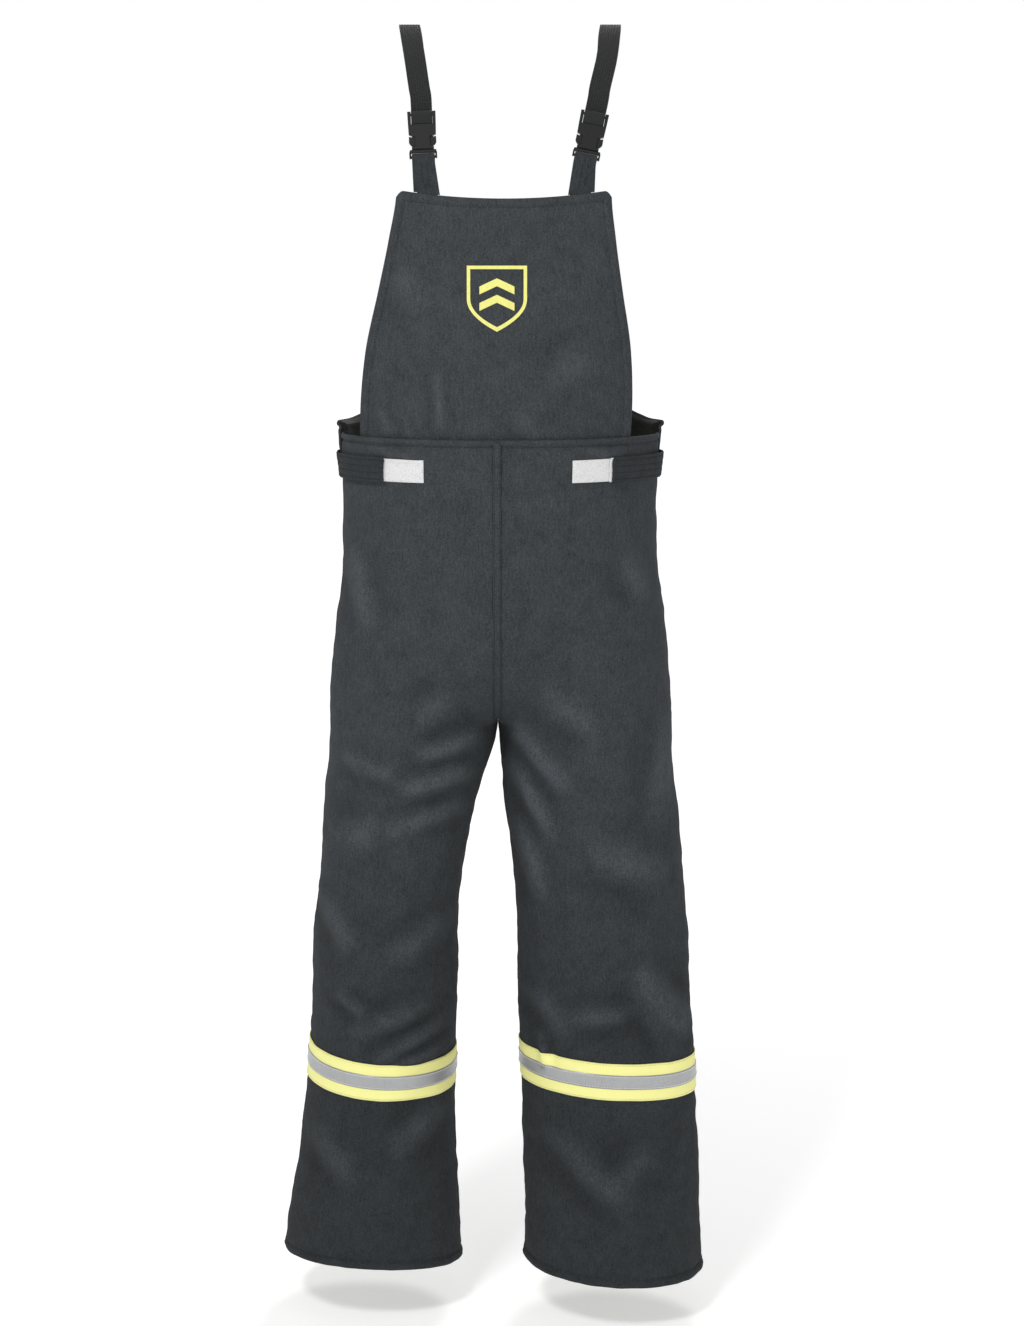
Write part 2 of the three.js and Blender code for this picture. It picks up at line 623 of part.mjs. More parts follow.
// The point of the back's outer surface at x and z, held at the waist's depth above the waist.
function onBack(x, z, out) {
  const depth = hipHalfDepth(Math.min(z, WAIST_Z)) + out;
  return new THREE.Vector3(x, depth * Math.sqrt(1 - (x / (hipHalfWidth(z) + out)) ** 2), z);
}

for (const side of SIDES) {
  const { frame, up, back } = buckleFrame(side);
  add(`${side.name}_buckle_male`, maleHalf(), PLASTIC, frame);
  add(`${side.name}_prong_inner`, prong(-side.sign), PLASTIC, frame);
  add(`${side.name}_prong_outer`, prong(side.sign), PLASTIC, frame);
  add(`${side.name}_buckle_housing`, housing(), PLASTIC, frame);
  const wrap = loop(WEBBING_WIDTH, WEBBING, WRAP_FOOT, WEBBING + 0.1).translate(0, 0, LADDER_BAR);
  add(`${side.name}_strap_wrap`, wrap, ELASTIC, frame);

  frame.updateMatrixWorld();
  add(`${side.name}_strap_tab`, strapTab(side, frame), SHELL_CLOTH, frame);

  // The suspender: straight behind the housing, over the shoulder, and crossed down the back.
  const straight = [RUN_FROM, (RUN_FROM + STRAIGHT_TO) / 2, STRAIGHT_TO].map((at) =>
    side.bar.clone().addScaledVector(up, at).addScaledVector(back, RUN_LIFT));
  const shoulder = side.shoulder.map((at) => new THREE.Vector3(...at));
  const out = BACK_OUT + side.crossDepth;
  const lower = [
    new THREE.Vector3(side.sign * 62, 139, CROSS_Z + 78),
    onBack(CENTRE_X, CROSS_Z, out + 1),
    onBack(CENTRE_X - side.sign * 24, CROSS_Z - 50, out + 1),
    onBack(CENTRE_X - side.sign * ANCHOR_X, ANCHOR_Z, out),
  ];
  const route = new THREE.CatmullRomCurve3([...straight, ...shoulder, ...lower], false, 'centripetal');
  const endX = CENTRE_X - side.sign * ANCHOR_X;
  const backTangent = onBack(endX + 1, ANCHOR_Z, out).sub(onBack(endX, ANCHOR_Z, out)).normalize();
  add(`${side.name}_suspender`, ribbon(route, WEBBING_WIDTH, WEBBING, 44, backTangent), ELASTIC);

  const anchor = bent((u, v, w) => {
    const x = endX + (u - 0.5) * ANCHOR_WIDTH;
    return onBack(x, ANCHOR_Z + (v - 0.5) * ANCHOR_HEIGHT, out + WEBBING / 2 + 2 * PLY_GAP + w * PATCH_PLY);
  }, 4, 2);
  add(`${side.name}_strap_anchor`, anchor, SHELL_CLOTH);
}

// Patch that holds the two suspenders where they cross.
const patchOut = BACK_OUT + SIDES[1].crossDepth + 1 + WEBBING / 2 + 6 * PLY_GAP;
const diamond = plate([[0, -34], [30, 0], [0, 34], [-30, 0]], PATCH_PLY);
add('cross_patch', diamond.translate(CENTRE_X, onBack(0, CROSS_Z, patchOut).y, CROSS_Z), FACING_TAPE);

export default garment;
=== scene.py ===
"""Insulated bib overall: cloth, trim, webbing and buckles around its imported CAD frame."""

import math
from collections import namedtuple
from functools import lru_cache

import bmesh
import bpy
from bpy.props import FloatProperty, FloatVectorProperty, PointerProperty
from bpy.types import Operator, Panel, PropertyGroup
from mathutils import Matrix, Vector, noise
from mathutils.bvhtree import BVHTree


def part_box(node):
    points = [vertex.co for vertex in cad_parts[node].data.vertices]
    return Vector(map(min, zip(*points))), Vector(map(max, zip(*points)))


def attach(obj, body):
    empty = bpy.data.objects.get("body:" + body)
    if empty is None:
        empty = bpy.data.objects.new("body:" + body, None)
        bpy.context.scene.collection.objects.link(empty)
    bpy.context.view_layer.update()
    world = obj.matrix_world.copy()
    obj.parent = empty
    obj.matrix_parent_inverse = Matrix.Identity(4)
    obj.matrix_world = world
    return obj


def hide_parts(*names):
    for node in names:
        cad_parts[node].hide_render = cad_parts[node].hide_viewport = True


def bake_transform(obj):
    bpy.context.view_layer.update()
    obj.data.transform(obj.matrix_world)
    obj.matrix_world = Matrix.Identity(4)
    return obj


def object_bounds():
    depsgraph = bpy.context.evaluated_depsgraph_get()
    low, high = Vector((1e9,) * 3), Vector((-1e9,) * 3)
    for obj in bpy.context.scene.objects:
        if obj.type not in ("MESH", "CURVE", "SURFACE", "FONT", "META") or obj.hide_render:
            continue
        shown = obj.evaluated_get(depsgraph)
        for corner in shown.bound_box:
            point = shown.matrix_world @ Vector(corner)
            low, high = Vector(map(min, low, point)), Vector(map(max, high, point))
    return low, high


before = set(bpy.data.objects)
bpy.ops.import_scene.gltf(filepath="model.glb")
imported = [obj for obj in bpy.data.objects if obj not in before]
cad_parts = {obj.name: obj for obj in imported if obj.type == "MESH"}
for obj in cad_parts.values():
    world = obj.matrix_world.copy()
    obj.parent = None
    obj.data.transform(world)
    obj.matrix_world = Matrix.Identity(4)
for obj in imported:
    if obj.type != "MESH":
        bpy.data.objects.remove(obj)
CAD_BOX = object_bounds()

bl_info = {
    "name": "Insulated Bib Overall",
    "version": (1, 0, 0),
    "blender": (4, 5, 0),
    "location": "View3D > Sidebar > Overall",
    "description": "Builds the cloth, trim, webbing and buckles of a bib overall around its CAD frame",
    "category": "Object",
}

ROOT = "garment"

# ---- Sizes, in metres, as the CAD has them ----

SHOULDER_TO_BIB = 0.203
BIB_HEIGHT = 0.304
FRONT_RISE = 0.380
INSEAM = 0.745
BIB_TUCK = 0.016
BIB_DIP = 0.011
BIB_LEAN = 0.006
BACK_SIDE_RISE = 0.014
BACK_PEAK = 0.066

SHELL = 0.003
LINING = 0.0026
FACING = 0.0012
PLY_GAP = 0.0004
LINING_GAP = 0.0024
TUCK_GAP = 0.0024
SEAM_WIDTH = 0.010
SEAM_THICKNESS = 0.0022
SEAM_LIFT = 0.0012
SEAM_ABOVE_CROTCH = 0.014

CENTRE_X = -0.003
WAIST_HALF_DEPTH = 0.140
CREST_HALF_DEPTH = 0.116
CHEST_HALF_WIDTH = 0.205
RISE_BLEND = 0.150
HIP_BLEND_BELOW = 0.070
HIP_BLEND_ABOVE = 0.230

VENT_DEPTH = 0.110
VENT_OPENING = 0.009
VENT_FLARE = 0.007
LINING_VENT = 0.035  # share of the lining's width that is cut away at the vent
LINING_ABOVE_HEM = 0.002

TRIM_WIDTH = 0.050
TRIM_THICKNESS = 0.0008
TRIM_TAPE = 0.019
TRIM_TAPE_THICKNESS = 0.0004
TRIM_ABOVE_HEM = 0.281
TRIM_GAP = 0.0007
HEM_FACING = 0.030
WAIST_FACING = 0.038
WAIST_FACING_TURN = 0.006
WAIST_FACING_ENDS = 0.035  # share of its length that turns outwards at the vent
HEM_TILT = -0.065

WEBBING_WIDTH = 0.0255
WEBBING = 0.0022
WEBBING_RIBS = 7
RIB_HEIGHT = 0.00012
RUN_CLEARANCE = 0.0005
HOUSING_THICKNESS = 0.0084
RUN_FROM = 0.020
STRAIGHT_TO = 0.076
ANCHOR_X = 0.044

TAKEUP_WIDTH = 0.032
TAKEUP_THICKNESS = 0.0026
TAKEUP_BELOW_WAIST = 0.040
TAB_LIFT = 0.001
PATCH_WIDTH = 0.028
PATCH_THICKNESS = 0.001
PATCH_INNER_X = 0.092
PATCH_LENGTH = 0.092
TAB_INNER_X = 0.140
HOOK_LENGTH = 0.040
TAB_LENGTH = 0.22
TAB_EDGE = 0.0012
QUILT_LINES = (0.13, 0.38, 0.62, 0.87)  # shares of the strap's width
QUILT_DEPTH, QUILT_WIDTH = 0.0006, 0.0013
ANCHOR_TURN = math.radians(117)

EMBLEM_WIDTH = 0.074
EMBLEM_HEIGHT = 0.080
EMBLEM_BELOW_BIB_TOP = 0.132
EMBLEM_LINE = 0.0042
EMBLEM_LIFT = 0.0003
CHEVRON_HALF_WIDTH = 0.0215
CHEVRON_RISE = 0.010
CHEVRON_BAND = 0.0095
CHEVRON_LEVELS = (0.010, -0.010)

BIB_TOP_Z = -SHOULDER_TO_BIB
WAIST_Z = BIB_TOP_Z - BIB_HEIGHT
CROTCH_Z = WAIST_Z - FRONT_RISE
HEM_Z = CROTCH_Z - INSEAM
TAKEUP_Z = WAIST_Z - TAKEUP_BELOW_WAIST
TRIM_Z = HEM_Z + TRIM_ABOVE_HEM
CROSS_Z = WAIST_Z + BACK_PEAK + 0.066
ANCHOR_Z = WAIST_Z + 0.008

LINING_BELOW_EDGE = {-1: BIB_TUCK + 0.006, 1: 0.026}
LINING_OUT = -SHELL - LINING_GAP
FACING_OUT = LINING_OUT - LINING - LINING_GAP
BIB_OUT = -SHELL - TUCK_GAP
BIB_LINING_OUT = BIB_OUT - SHELL - LINING_GAP
TRIM_OUT = TRIM_GAP + TRIM_THICKNESS
TRIM_TAPE_OUT = TRIM_OUT + 0.0002 + TRIM_TAPE_THICKNESS

LEG_SHARES = [0, 0.2, 0.375, 0.56, 0.71, 0.86, 1]
LEG_GIRTHS = [0.684, 0.656, 0.648, 0.655, 0.672, 0.705, 0.752]
LEG_HEIGHTS = [HEM_Z + share * INSEAM for share in LEG_SHARES]


# ---- Curves through stations ----


def through(positions, values):
    """A smooth value over rising positions, held beyond the first and last."""

    def at(t):
        if t <= positions[0]:
            return values[0]
        if t >= positions[-1]:
            return values[-1]
        i = next(k for k in range(len(positions) - 1) if t <= positions[k + 1])
        t0, t1 = positions[i], positions[i + 1]
        first, last = i == 0, i == len(positions) - 2
        before = 2 * t0 - t1 if first else positions[i - 1]
        after = 2 * t1 - t0 if last else positions[i + 2]
        v0, v1 = values[i], values[i + 1]
        v_before = v1 if first else values[i - 1]
        v_after = v0 if last else values[i + 2]
        half = (t1 - t0) / 2
        w_before, w_after = half / (t0 - before), half / (after - t1)
        p = (t - t0) / (t1 - t0)
        s_before = -w_before * p**3 + 2 * w_before * p**2 - w_before * p
        s0 = (1 + w_before) * p**3 + (-1.5 - 2 * w_before) * p**2 + (w_before - 0.5) * p + 1
        s1 = (-1 - w_after) * p**3 + (1.5 + w_after) * p**2 + 0.5 * p
        s_after = w_after * (p**3 - p**2)
        return s_before * v_before + s0 * v0 + s1 * v1 + s_after * v_after

    return lru_cache(maxsize=20000)(at)


def clamp01(t):
    return min(1.0, max(0.0, t))


def smooth(t):
    t = clamp01(t)
    return t * t * (3 - 2 * t)


def mix(a, b, t):
    return a + (b - a) * t


def bell(distance, width):
    return math.exp(-((distance / width) ** 2))


class Side:
    """One side of the garment: its leg's stance and its suspender's places."""

    def __init__(self, name, sign, centres, half_widths, hem_forward, hem_front_lift, bar, buckle_top,
                 shoulder, cross_depth, hook_start, tab_foot_x):
        self.name, self.sign = name, sign
        self.centre = through(LEG_HEIGHTS, centres)
        self.half_width = through(LEG_HEIGHTS, half_widths)
        self.forward = through([HEM_Z, CROTCH_Z], [-hem_forward, 0])
        self.hem_front_lift = hem_front_lift
        self.bar, self.buckle_top = Vector(bar), Vector(buckle_top)
        self.shoulder = [Vector(at) for at in shoulder]
        self.cross_depth = cross_depth
        self.hook_start, self.tab_foot_x = hook_start, tab_foot_x


RIGHT = Side(
    "right", -1,
    centres=[-0.175, -0.167, -0.160, -0.154, -0.146, -0.132, -0.114],
    half_widths=[0.120, 0.106, 0.099, 0.098, 0.095, 0.101, 0.1095],
    hem_forward=-0.008, hem_front_lift=0.014,
    bar=(-0.093, -0.098, -0.164), buckle_top=(-0.0955, -0.089, -0.110),
    shoulder=[
        (-0.098, -0.0780, -0.082), (-0.104, -0.062, -0.044), (-0.110, -0.033, -0.012),
        (-0.113, 0, 0.0011), (-0.112, 0.052, -0.007), (-0.1095, 0.090, -0.034),
        (-0.105, 0.112, -0.071), (-0.1025, 0.127, -0.143), (-0.097, 0.133, -0.200),
    ],
    cross_depth=0,
    hook_start=0.004, tab_foot_x=-0.0885,
)
LEFT = Side(
    "left", 1,
    centres=[0.154, 0.149, 0.144, 0.138, 0.131, 0.120, 0.112],
    half_widths=[0.120, 0.118, 0.117, 0.115, 0.112, 0.115, 0.1135],
    hem_forward=0.018, hem_front_lift=0,
    bar=(0.106, -0.097, -0.164), buckle_top=(0.1175, -0.088, -0.110),
    shoulder=[
        (0.123, -0.0774, -0.082), (0.132, -0.061, -0.044), (0.137, -0.033, -0.012),
        (0.139, 0, 0.0011), (0.1385, 0.052, -0.007), (0.1375, 0.090, -0.034),
        (0.130, 0.112, -0.071), (0.116, 0.127, -0.143), (0.107, 0.133, -0.200),
    ],
    cross_depth=WEBBING + 3 * PLY_GAP,
    hook_start=-0.014, tab_foot_x=0.1005,
)
SIDES = (RIGHT, LEFT)
FACES = ((-1, "front"), (1, "back"))

leg_girth = through(LEG_HEIGHTS, LEG_GIRTHS)
HIP_HEIGHTS = [CROTCH_Z, WAIST_Z - 0.293, WAIST_Z - 0.193, WAIST_Z - 0.090, WAIST_Z, WAIST_Z + BACK_PEAK]
hip_half_width = through(HIP_HEIGHTS, [0.224, 0.216, 0.206, 0.203, 0.204, 0.205])
hip_half_depth = through(HIP_HEIGHTS, [0.128, 0.142, 0.149, 0.146, WAIST_HALF_DEPTH, 0.136])
BIB_HEIGHTS = [WAIST_Z + share * BIB_HEIGHT for share in (0, 0.16, 0.36, 0.6, 0.8, 1)]
bib_half_width = through(BIB_HEIGHTS, [0.171, 0.171, 0.166, 0.152, 0.141, 0.133])
chest_half_depth = through([WAIST_Z, BIB_TOP_Z], [WAIST_HALF_DEPTH, CREST_HALF_DEPTH])


# ---- The trousers' surface ----


def leg_half_depth(side, z):
    return math.sqrt(2 * (leg_girth(z) / (2 * math.pi)) ** 2 - side.half_width(z) ** 2)


def drape(side, z, x, y):
    """Height of a point once hems and trims slope sideways and one hem is lifted in front."""
    fade = smooth((CROTCH_Z - z) / (INSEAM * 0.5))
    front = clamp01((side.forward(z) - y) / leg_half_depth(side, z))
    low = smooth((HEM_Z + INSEAM * 0.2 - z) / (INSEAM * 0.2))
    return z + fade * HEM_TILT * (x - side.centre(z)) + low * side.hem_front_lift * front


CROTCH_SHARE = 0.16  # of a panel's width
CROTCH_REACH = 0.035


def at_crotch(across, z):
    """1 where the four panels meet at the crotch, fading out round it."""
    return clamp01(1 - across / CROTCH_SHARE) ** 2 * smooth(1 - abs(z - CROTCH_Z) / CROTCH_REACH)


def panel_point(side, face, across, z, out):
    """across runs from the inseam or rise seam (0) to the side seam (1); face is -1 in front, 1 behind."""
    turn = across * math.pi
    leg_x = side.centre(z) - side.sign * (side.half_width(z) + out) * math.cos(turn)
    leg_x += at_crotch(across, z) * (CENTRE_X - side.centre(z) + side.sign * side.half_width(z))
    leg_y = side.forward(z) + face * (leg_half_depth(side, z) + out) * math.sin(turn)
    hip_x = mix(CENTRE_X, 0, across) + side.sign * (hip_half_width(z) + out) * math.sin(turn / 2)
    hip_y = face * (hip_half_depth(z) + out) * math.cos(turn / 2)
    up = clamp01((z - CROTCH_Z) / RISE_BLEND)
    at_seam = math.sqrt(1 - (1 - up) ** 2)
    away = smooth((z - CROTCH_Z + HIP_BLEND_BELOW) / (HIP_BLEND_BELOW + HIP_BLEND_ABOVE))
    share = mix(at_seam, away, smooth(across / 0.45))
    x, y = mix(leg_x, hip_x, share), mix(leg_y, hip_y, share)
    return Vector((x, y, drape(side, z, x, y)))


def top_edge(face, across):
    rise = BACK_SIDE_RISE + BACK_PEAK * smooth(1 - across * 1.15) if face > 0 else 0
    return WAIST_Z + rise


def vent_opening(z):
    return clamp01((z - (WAIST_Z - VENT_DEPTH)) / VENT_DEPTH) ** 2


def vent_flare(across, z):
    return VENT_FLARE * vent_opening(z) * clamp01((across - 0.6) / 0.4)


def vent_share(z):
    return 1 - vent_opening(z) * VENT_OPENING * 4 / (math.pi * (hip_half_width(z) + hip_half_depth(z)))


def vented(side, face, across, z, out):
    flare = vent_flare(across, z) if face > 0 else 0
    return panel_point(side, face, across * vent_share(z), z, out + flare)


# ---- Folds: soft ridges with a hollow on each side, as (x0, z0, x1, z1, width, height) in millimetres ----

Fold = namedtuple("Fold", "x0 z0 x1 z1 width height")
FOLD_DEPTH = 2.1  # on the heights in the lists


def in_metres(rows):
    return [Fold(*[value / 1000 for value in row]) for row in rows]


FOLDS = {
    ("right", -1): in_metres([
        (-20, -885, -110, -915, 12, 3.5), (-30, -930, -130, -955, 13, 4),
        (-40, -975, -150, -1010, 12, 2.8), (-205, -915, -130, -935, 12, 2.2),
        (-60, -830, -110, -870, 15, 2.5), (-60, -1130, -150, -1185, 17, 2.5),
        (-235, -1100, -190, -1180, 15, 3), (-65, -1275, -170, -1320, 10, 4),
        (-62, -1305, -140, -1330, 8, 4), (-85, -1245, -200, -1285, 14, 2.8),
        (-70, -1390, -150, -1450, 18, 3), (-250, -1420, -190, -1500, 20, 2.8),
        (-190, -640, -165, -760, 14, 2.6), (-165, -519, -98, -536, 6, 1.6),
        (-150, -1000, -215, -1030, 20, 2.4), (-215, -1230, -175, -1262, 10, 3),
    ]),
    ("left", -1): in_metres([
        (10, -870, 85, -960, 13, 4), (15, -925, 70, -1030, 12, 4),
        (22, -1000, 60, -1120, 13, 3.2), (50, -830, 130, -880, 16, 2.6),
        (215, -860, 205, -1010, 15, 2.5), (180, -1195, 250, -1300, 15, 6.5),
        (165, -1215, 232, -1325, 12, 3.5), (85, -1270, 180, -1255, 13, 3.5),
        (40, -1230, 90, -1300, 14, 2.8), (60, -1420, 180, -1530, 18, 3.4),
        (200, -1440, 150, -1500, 18, 2.4), (160, -650, 185, -720, 14, 2.6),
        (100, -520, 160, -532, 6, 1.4), (110, -1030, 220, -1080, 22, 2.6),
        (60, -1350, 52, -1290, 6, 3.2),
    ]),
    ("right", 1): in_metres([
        (-20, -880, -120, -850, 18, 3.4), (-30, -930, -150, -915, 16, 2.8),
        (-50, -1100, -220, -1150, 21, 3.6), (-70, -1180, -230, -1190, 18, 3),
        (-80, -1290, -240, -1270, 14, 3.2),
    ]),
    ("left", 1): in_metres([
        (15, -890, 125, -850, 18, 3.4), (20, -940, 160, -925, 16, 2.8),
        (40, -1120, 230, -1160, 21, 3.6), (50, -1200, 220, -1185, 18, 3),
        (60, -1300, 230, -1280, 14, 3.2),
    ]),
}
BIB_FOLDS = in_metres([
    (-78, -420, -72, -505, 7, 2.2), (-130, -300, -90, -350, 18, 1.4),
    (120, -400, 60, -440, 20, 1.4), (-152, -462, -138, -508, 6, 1.4),
    (-118, -478, -112, -510, 5, 1.1), (20, -470, 50, -512, 12, 1.2),
])


def fold_height(folds, x, z):
    total = 0.0
    for fold in folds:
        along_x, along_z = fold.x1 - fold.x0, fold.z1 - fold.z0
        length2 = along_x**2 + along_z**2
        t = ((x - fold.x0) * along_x + (z - fold.z0) * along_z) / length2
        if not 0 < t < 1:
            continue
        off = ((x - fold.x0) * along_z - (z - fold.z0) * along_x) / math.sqrt(length2) / fold.width
        if abs(off) > 4:
            continue
        ridge = bell(off, 1) - 0.45 * bell(off - 1.7, 1) - 0.2 * bell(off + 1.8, 1)
        total += FOLD_DEPTH * fold.height * (4 * t * (1 - t)) ** 0.8 * ridge
    return total


# ---- Relief of the cloth ----

PANEL_SPAN = 0.33  # about the width of a trouser panel, seam to seam
FOLD_FADE = 0.07  # share of that width over which folds die out beside a seam
PANEL_SWAY, BIB_SWAY = (0.0034, 0.0009), (0.0016, 0.0005)  # heights of the slow and the small unevenness
SLOW, SMALL, PUCKERED = 9, 42, 58  # bumps in a metre, roughly
SMALL_OFFSET = Vector((3.1, 7.7, 1.9))
WAIST_ROLL, HEM_ROLL, BIB_ROLL = (0.008, 0.0020), (0.011, 0.0020), (0.010, 0.0010)  # (width, height)
GROOVE_INSIDE, GROOVE_DEPTH, GROOVE_WIDTH = 0.0015, 0.0014, 0.0018
SEAM_DEPTH, SEAM_HALF_WIDTH = 0.0018, 0.0035
PUCKER_HEIGHT, PUCKER_REACH = 0.0016, 0.020


def sway(point, coarse, fine):
    """The slow unevenness of hanging cloth, and the small one of its quilted plies."""
    return coarse * noise.noise(point * SLOW) + fine * noise.noise(point * SMALL + SMALL_OFFSET)


def rolled(depth, width, height):
    """The turned edge of a panel and the groove of its stitching, for a depth in from it."""
    roll = height * (1 - (2 * depth / width - 1) ** 2) if 0 <= depth < width else 0
    return roll - GROOVE_DEPTH * bell(depth - width - GROOVE_INSIDE, GROOVE_WIDTH)


def seam_dip(distance):
    return -SEAM_DEPTH * bell(distance, SEAM_HALF_WIDTH)


def pucker(point, from_seam):
    """Small puckers where the stitching has drawn the plies together."""
    return PUCKER_HEIGHT * bell(from_seam, PUCKER_REACH) * noise.noise(point * PUCKERED)


def relief(side, face, across, z, edges=True):
    """How far the trousers' cloth stands off its smooth cut."""
    base = vented(side, face, across, z, 0)
    strength = bpy.context.scene.overall_sizes.fold_strength
    folds = fold_height(FOLDS[side.name, face], base.x, z) * smooth(min(across, 1 - across) / FOLD_FADE)
    height = strength * (folds + sway(base, *PANEL_SWAY))
    if edges:
        below, above = top_edge(face, across) - z, z - HEM_Z
        inner, outer = across * PANEL_SPAN, (1 - across) * PANEL_SPAN
        height += rolled(below, *WAIST_ROLL) + rolled(above, *HEM_ROLL) + seam_dip(inner) + seam_dip(outer)
        height += strength * pucker(base, min(below, above, inner, outer))
    return height * (1 - at_crotch(across, z))


def cloth_point(side, face, across, z, out=0.0):
    """A point of the trousers' outer cloth with its folds, rolls and seams."""
    return vented(side, face, across, z, out + relief(side, face, across, z))


def seam_point(face, x, z, out):
    """A point of the rise seam at x from its middle. Low down it is creased where the legs turn in."""
    middle = face * panel_point(LEFT, face, 0, z, relief(LEFT, face, 0, z, edges=False)).y
    flat = face * panel_point(LEFT, face, 0, z, 0).y
    beside = panel_point(RIGHT if x < 0 else LEFT, face, SEAM_WIDTH / 0.8, z, 0)
    slope = max(0.0, (face * beside.y - flat) / abs(beside.x - CENTRE_X))
    lift = out * math.sqrt(1 + slope * slope)
    return Vector((CENTRE_X + x, face * (middle + slope * abs(x) + lift), z))


def lining_point(side, face, across, z, out):
    return vented(side, face, across, z, out + relief(side, face, across, z, edges=False))


def ring_point(side, turn, z, out):
    """A point round a leg. The turn runs from the inseam (0) over the side seam in front (1) to 2 behind."""
    face, across = (-1, turn) if turn <= 1 else (1, 2 - turn)
    return vented(side, face, across, z, out + relief(side, face, across, z, edges=False))


# ---- The bib's surface ----


def on_chest(x, z, out):
    depth = chest_half_depth(z) + out
    return Vector((x, -depth * math.sqrt(1 - (x / (CHEST_HALF_WIDTH + out)) ** 2), z))


def bib_lean(z):
    return mix(-BIB_LEAN, BIB_LEAN, clamp01((z - WAIST_Z) / BIB_HEIGHT))


def bib_top(across):
    corner = 0.009 * clamp01((abs(across) - 0.93) / 0.07) ** 2
    return BIB_TOP_Z - BIB_DIP * (1 - across**2) - corner


def bib_flat(across, up, out):
    z = mix(WAIST_Z - BIB_TUCK, bib_top(across), up)
    return on_chest(bib_lean(z) + across * bib_half_width(z), z, out)


def bib_relief(across, up):
    base = bib_flat(across, up, 0)
    border = min((1 - abs(across)) * bib_half_width(base.z), bib_top(across) - base.z)
    strength = bpy.context.scene.overall_sizes.fold_strength
    height = strength * (fold_height(BIB_FOLDS, base.x, base.z) + sway(base, *BIB_SWAY))
    return height + rolled(border, *BIB_ROLL)


def bib_point(across, up, out=0.0):
    return bib_flat(across, up, BIB_OUT + out + bib_relief(across, up))


def on_bib(x, z, out):
    """The bib's outer surface at x and z."""
    across = (x - bib_lean(z)) / bib_half_width(z)
    foot = WAIST_Z - BIB_TUCK
    return bib_point(across, (z - foot) / (bib_top(across) - foot), out)


# ---- Meshes ----


def new_object(name, mesh, material):
    piece = bpy.data.objects.new(name, mesh)
    bpy.context.collection.objects.link(piece)
    mesh.materials.clear()
    mesh.materials.append(material)
    return piece


def made_of(bm, name, material):
    """The object of a finished bmesh."""
    mesh = bpy.data.meshes.new(name)
    bm.to_mesh(mesh)
    bm.free()
    return new_object(name, mesh, material)


def shares(count):
    return [k / count for k in range(count + 1)]


EDGE_STEPS = (0.0, 0.0012, 0.0026, 0.004, 0.0055, 0.007, 0.0082, 0.0095, 0.011, 0.013, 0.0155)


def edged(count, length):
    """Shares of a length with close steps at both ends, for rolled edges."""
    near = [step / length for step in EDGE_STEPS]
    middle = [mix(near[-1], 1 - near[-1], k / count) for k in range(1, count)]
    return near + middle + [1 - share for share in reversed(near)]


def cloth(name, columns, rows, place, size, material, thickness, closed=False):
    """A sheet over shares of its width and length. place(u, v, out) gives its points."""
    bm = bmesh.new()
    bm.loops.layers.uv.new("UVMap")
    across, along = len(columns) - 1, len(rows) - 1
    bmesh.ops.create_grid(bm, x_segments=across, y_segments=along, size=0.5, calc_uvs=True)
    uv = bm.loops.layers.uv.active
    for vert in bm.verts:
        u = columns[round((vert.co.x + 0.5) * across)]
        v = rows[round((vert.co.y + 0.5) * along)]
        for loop in vert.link_loops:
            loop[uv].uv = (u * size[0], v * size[1])
        vert.co = place(u, v, 0.0)
    if closed:
        bmesh.ops.remove_doubles(bm, verts=bm.verts, dist=1e-6)
    bm.normal_update()
    bm.faces.ensure_lookup_table()
    face = bm.faces[len(bm.faces) // 2 + across // 3]
    u, v = [sum(loop[uv].uv[k] for loop in face.loops) / 4 / size[k] for k in (0, 1)]
    outward = place(u, v, 0.001) - place(u, v, 0.0)
    if face.normal.dot(outward) < 0:
        bmesh.ops.reverse_faces(bm, faces=bm.faces)
    for face in bm.faces:
        face.smooth = True
    piece = made_of(bm, name, material)
    solid = piece.modifiers.new("Thickness", "SOLIDIFY")
    solid.thickness = thickness
    solid.offset = -1
    solid.use_even_offset = False
    return piece


def sewn(name, lines, material, pitch, length, width, lift=0.0002):
    """Stitches along lines. A line is (place, start, end), with place(a, b, out) and two (a, b) pairs."""
    bm = bmesh.new()
    for place, start, end in lines:

        def at(t, out=lift):
            return place(mix(start[0], end[0], t), mix(start[1], end[1], t), out)

        marks = [at(k / 60) for k in range(61)]
        total = sum((b - a).length for a, b in zip(marks, marks[1:]))
        count = max(1, round(total / pitch))
        for k in range(count):
            t = (k + 0.5) / count
            centre = at(t)
            along = (at(t + 0.2 / count) - at(t - 0.2 / count)).normalized()
            up = (at(t, lift + 0.001) - centre).normalized()
            side = up.cross(along).normalized()
            turn = Matrix((along, side, along.cross(side))).transposed().to_4x4()
            shape = Matrix.Diagonal((length, width, width * 0.8, 1))
            spot = Matrix.Translation(centre) @ turn @ shape
            bmesh.ops.create_icosphere(bm, subdivisions=1, radius=0.5, matrix=spot)
    for face in bm.faces:
        face.smooth = True
    return made_of(bm, name, material)


def dark_stitches(context, name, lines, width=0.0009, lift=0.0002):
    """Stitching in the outer cloth's own thread, in the sizes set for it."""
    sizes, material = context.scene.overall_sizes, finishes(context)["dark_thread"]
    return sewn(name, lines, material, sizes.stitch_pitch, sizes.stitch_length, width, lift)


def note_fold_shade_heights(piece, folds):
    """Notes how high each place of a sheet stands on its folds, for the shade and highlight painted into the
    cloth's colour.
    """
    noted = piece.data.attributes.new("crease", "FLOAT", "POINT")
    for vert, value in zip(piece.data.vertices, noted.data):
        value.value = fold_height(folds, vert.co.x, vert.co.z)


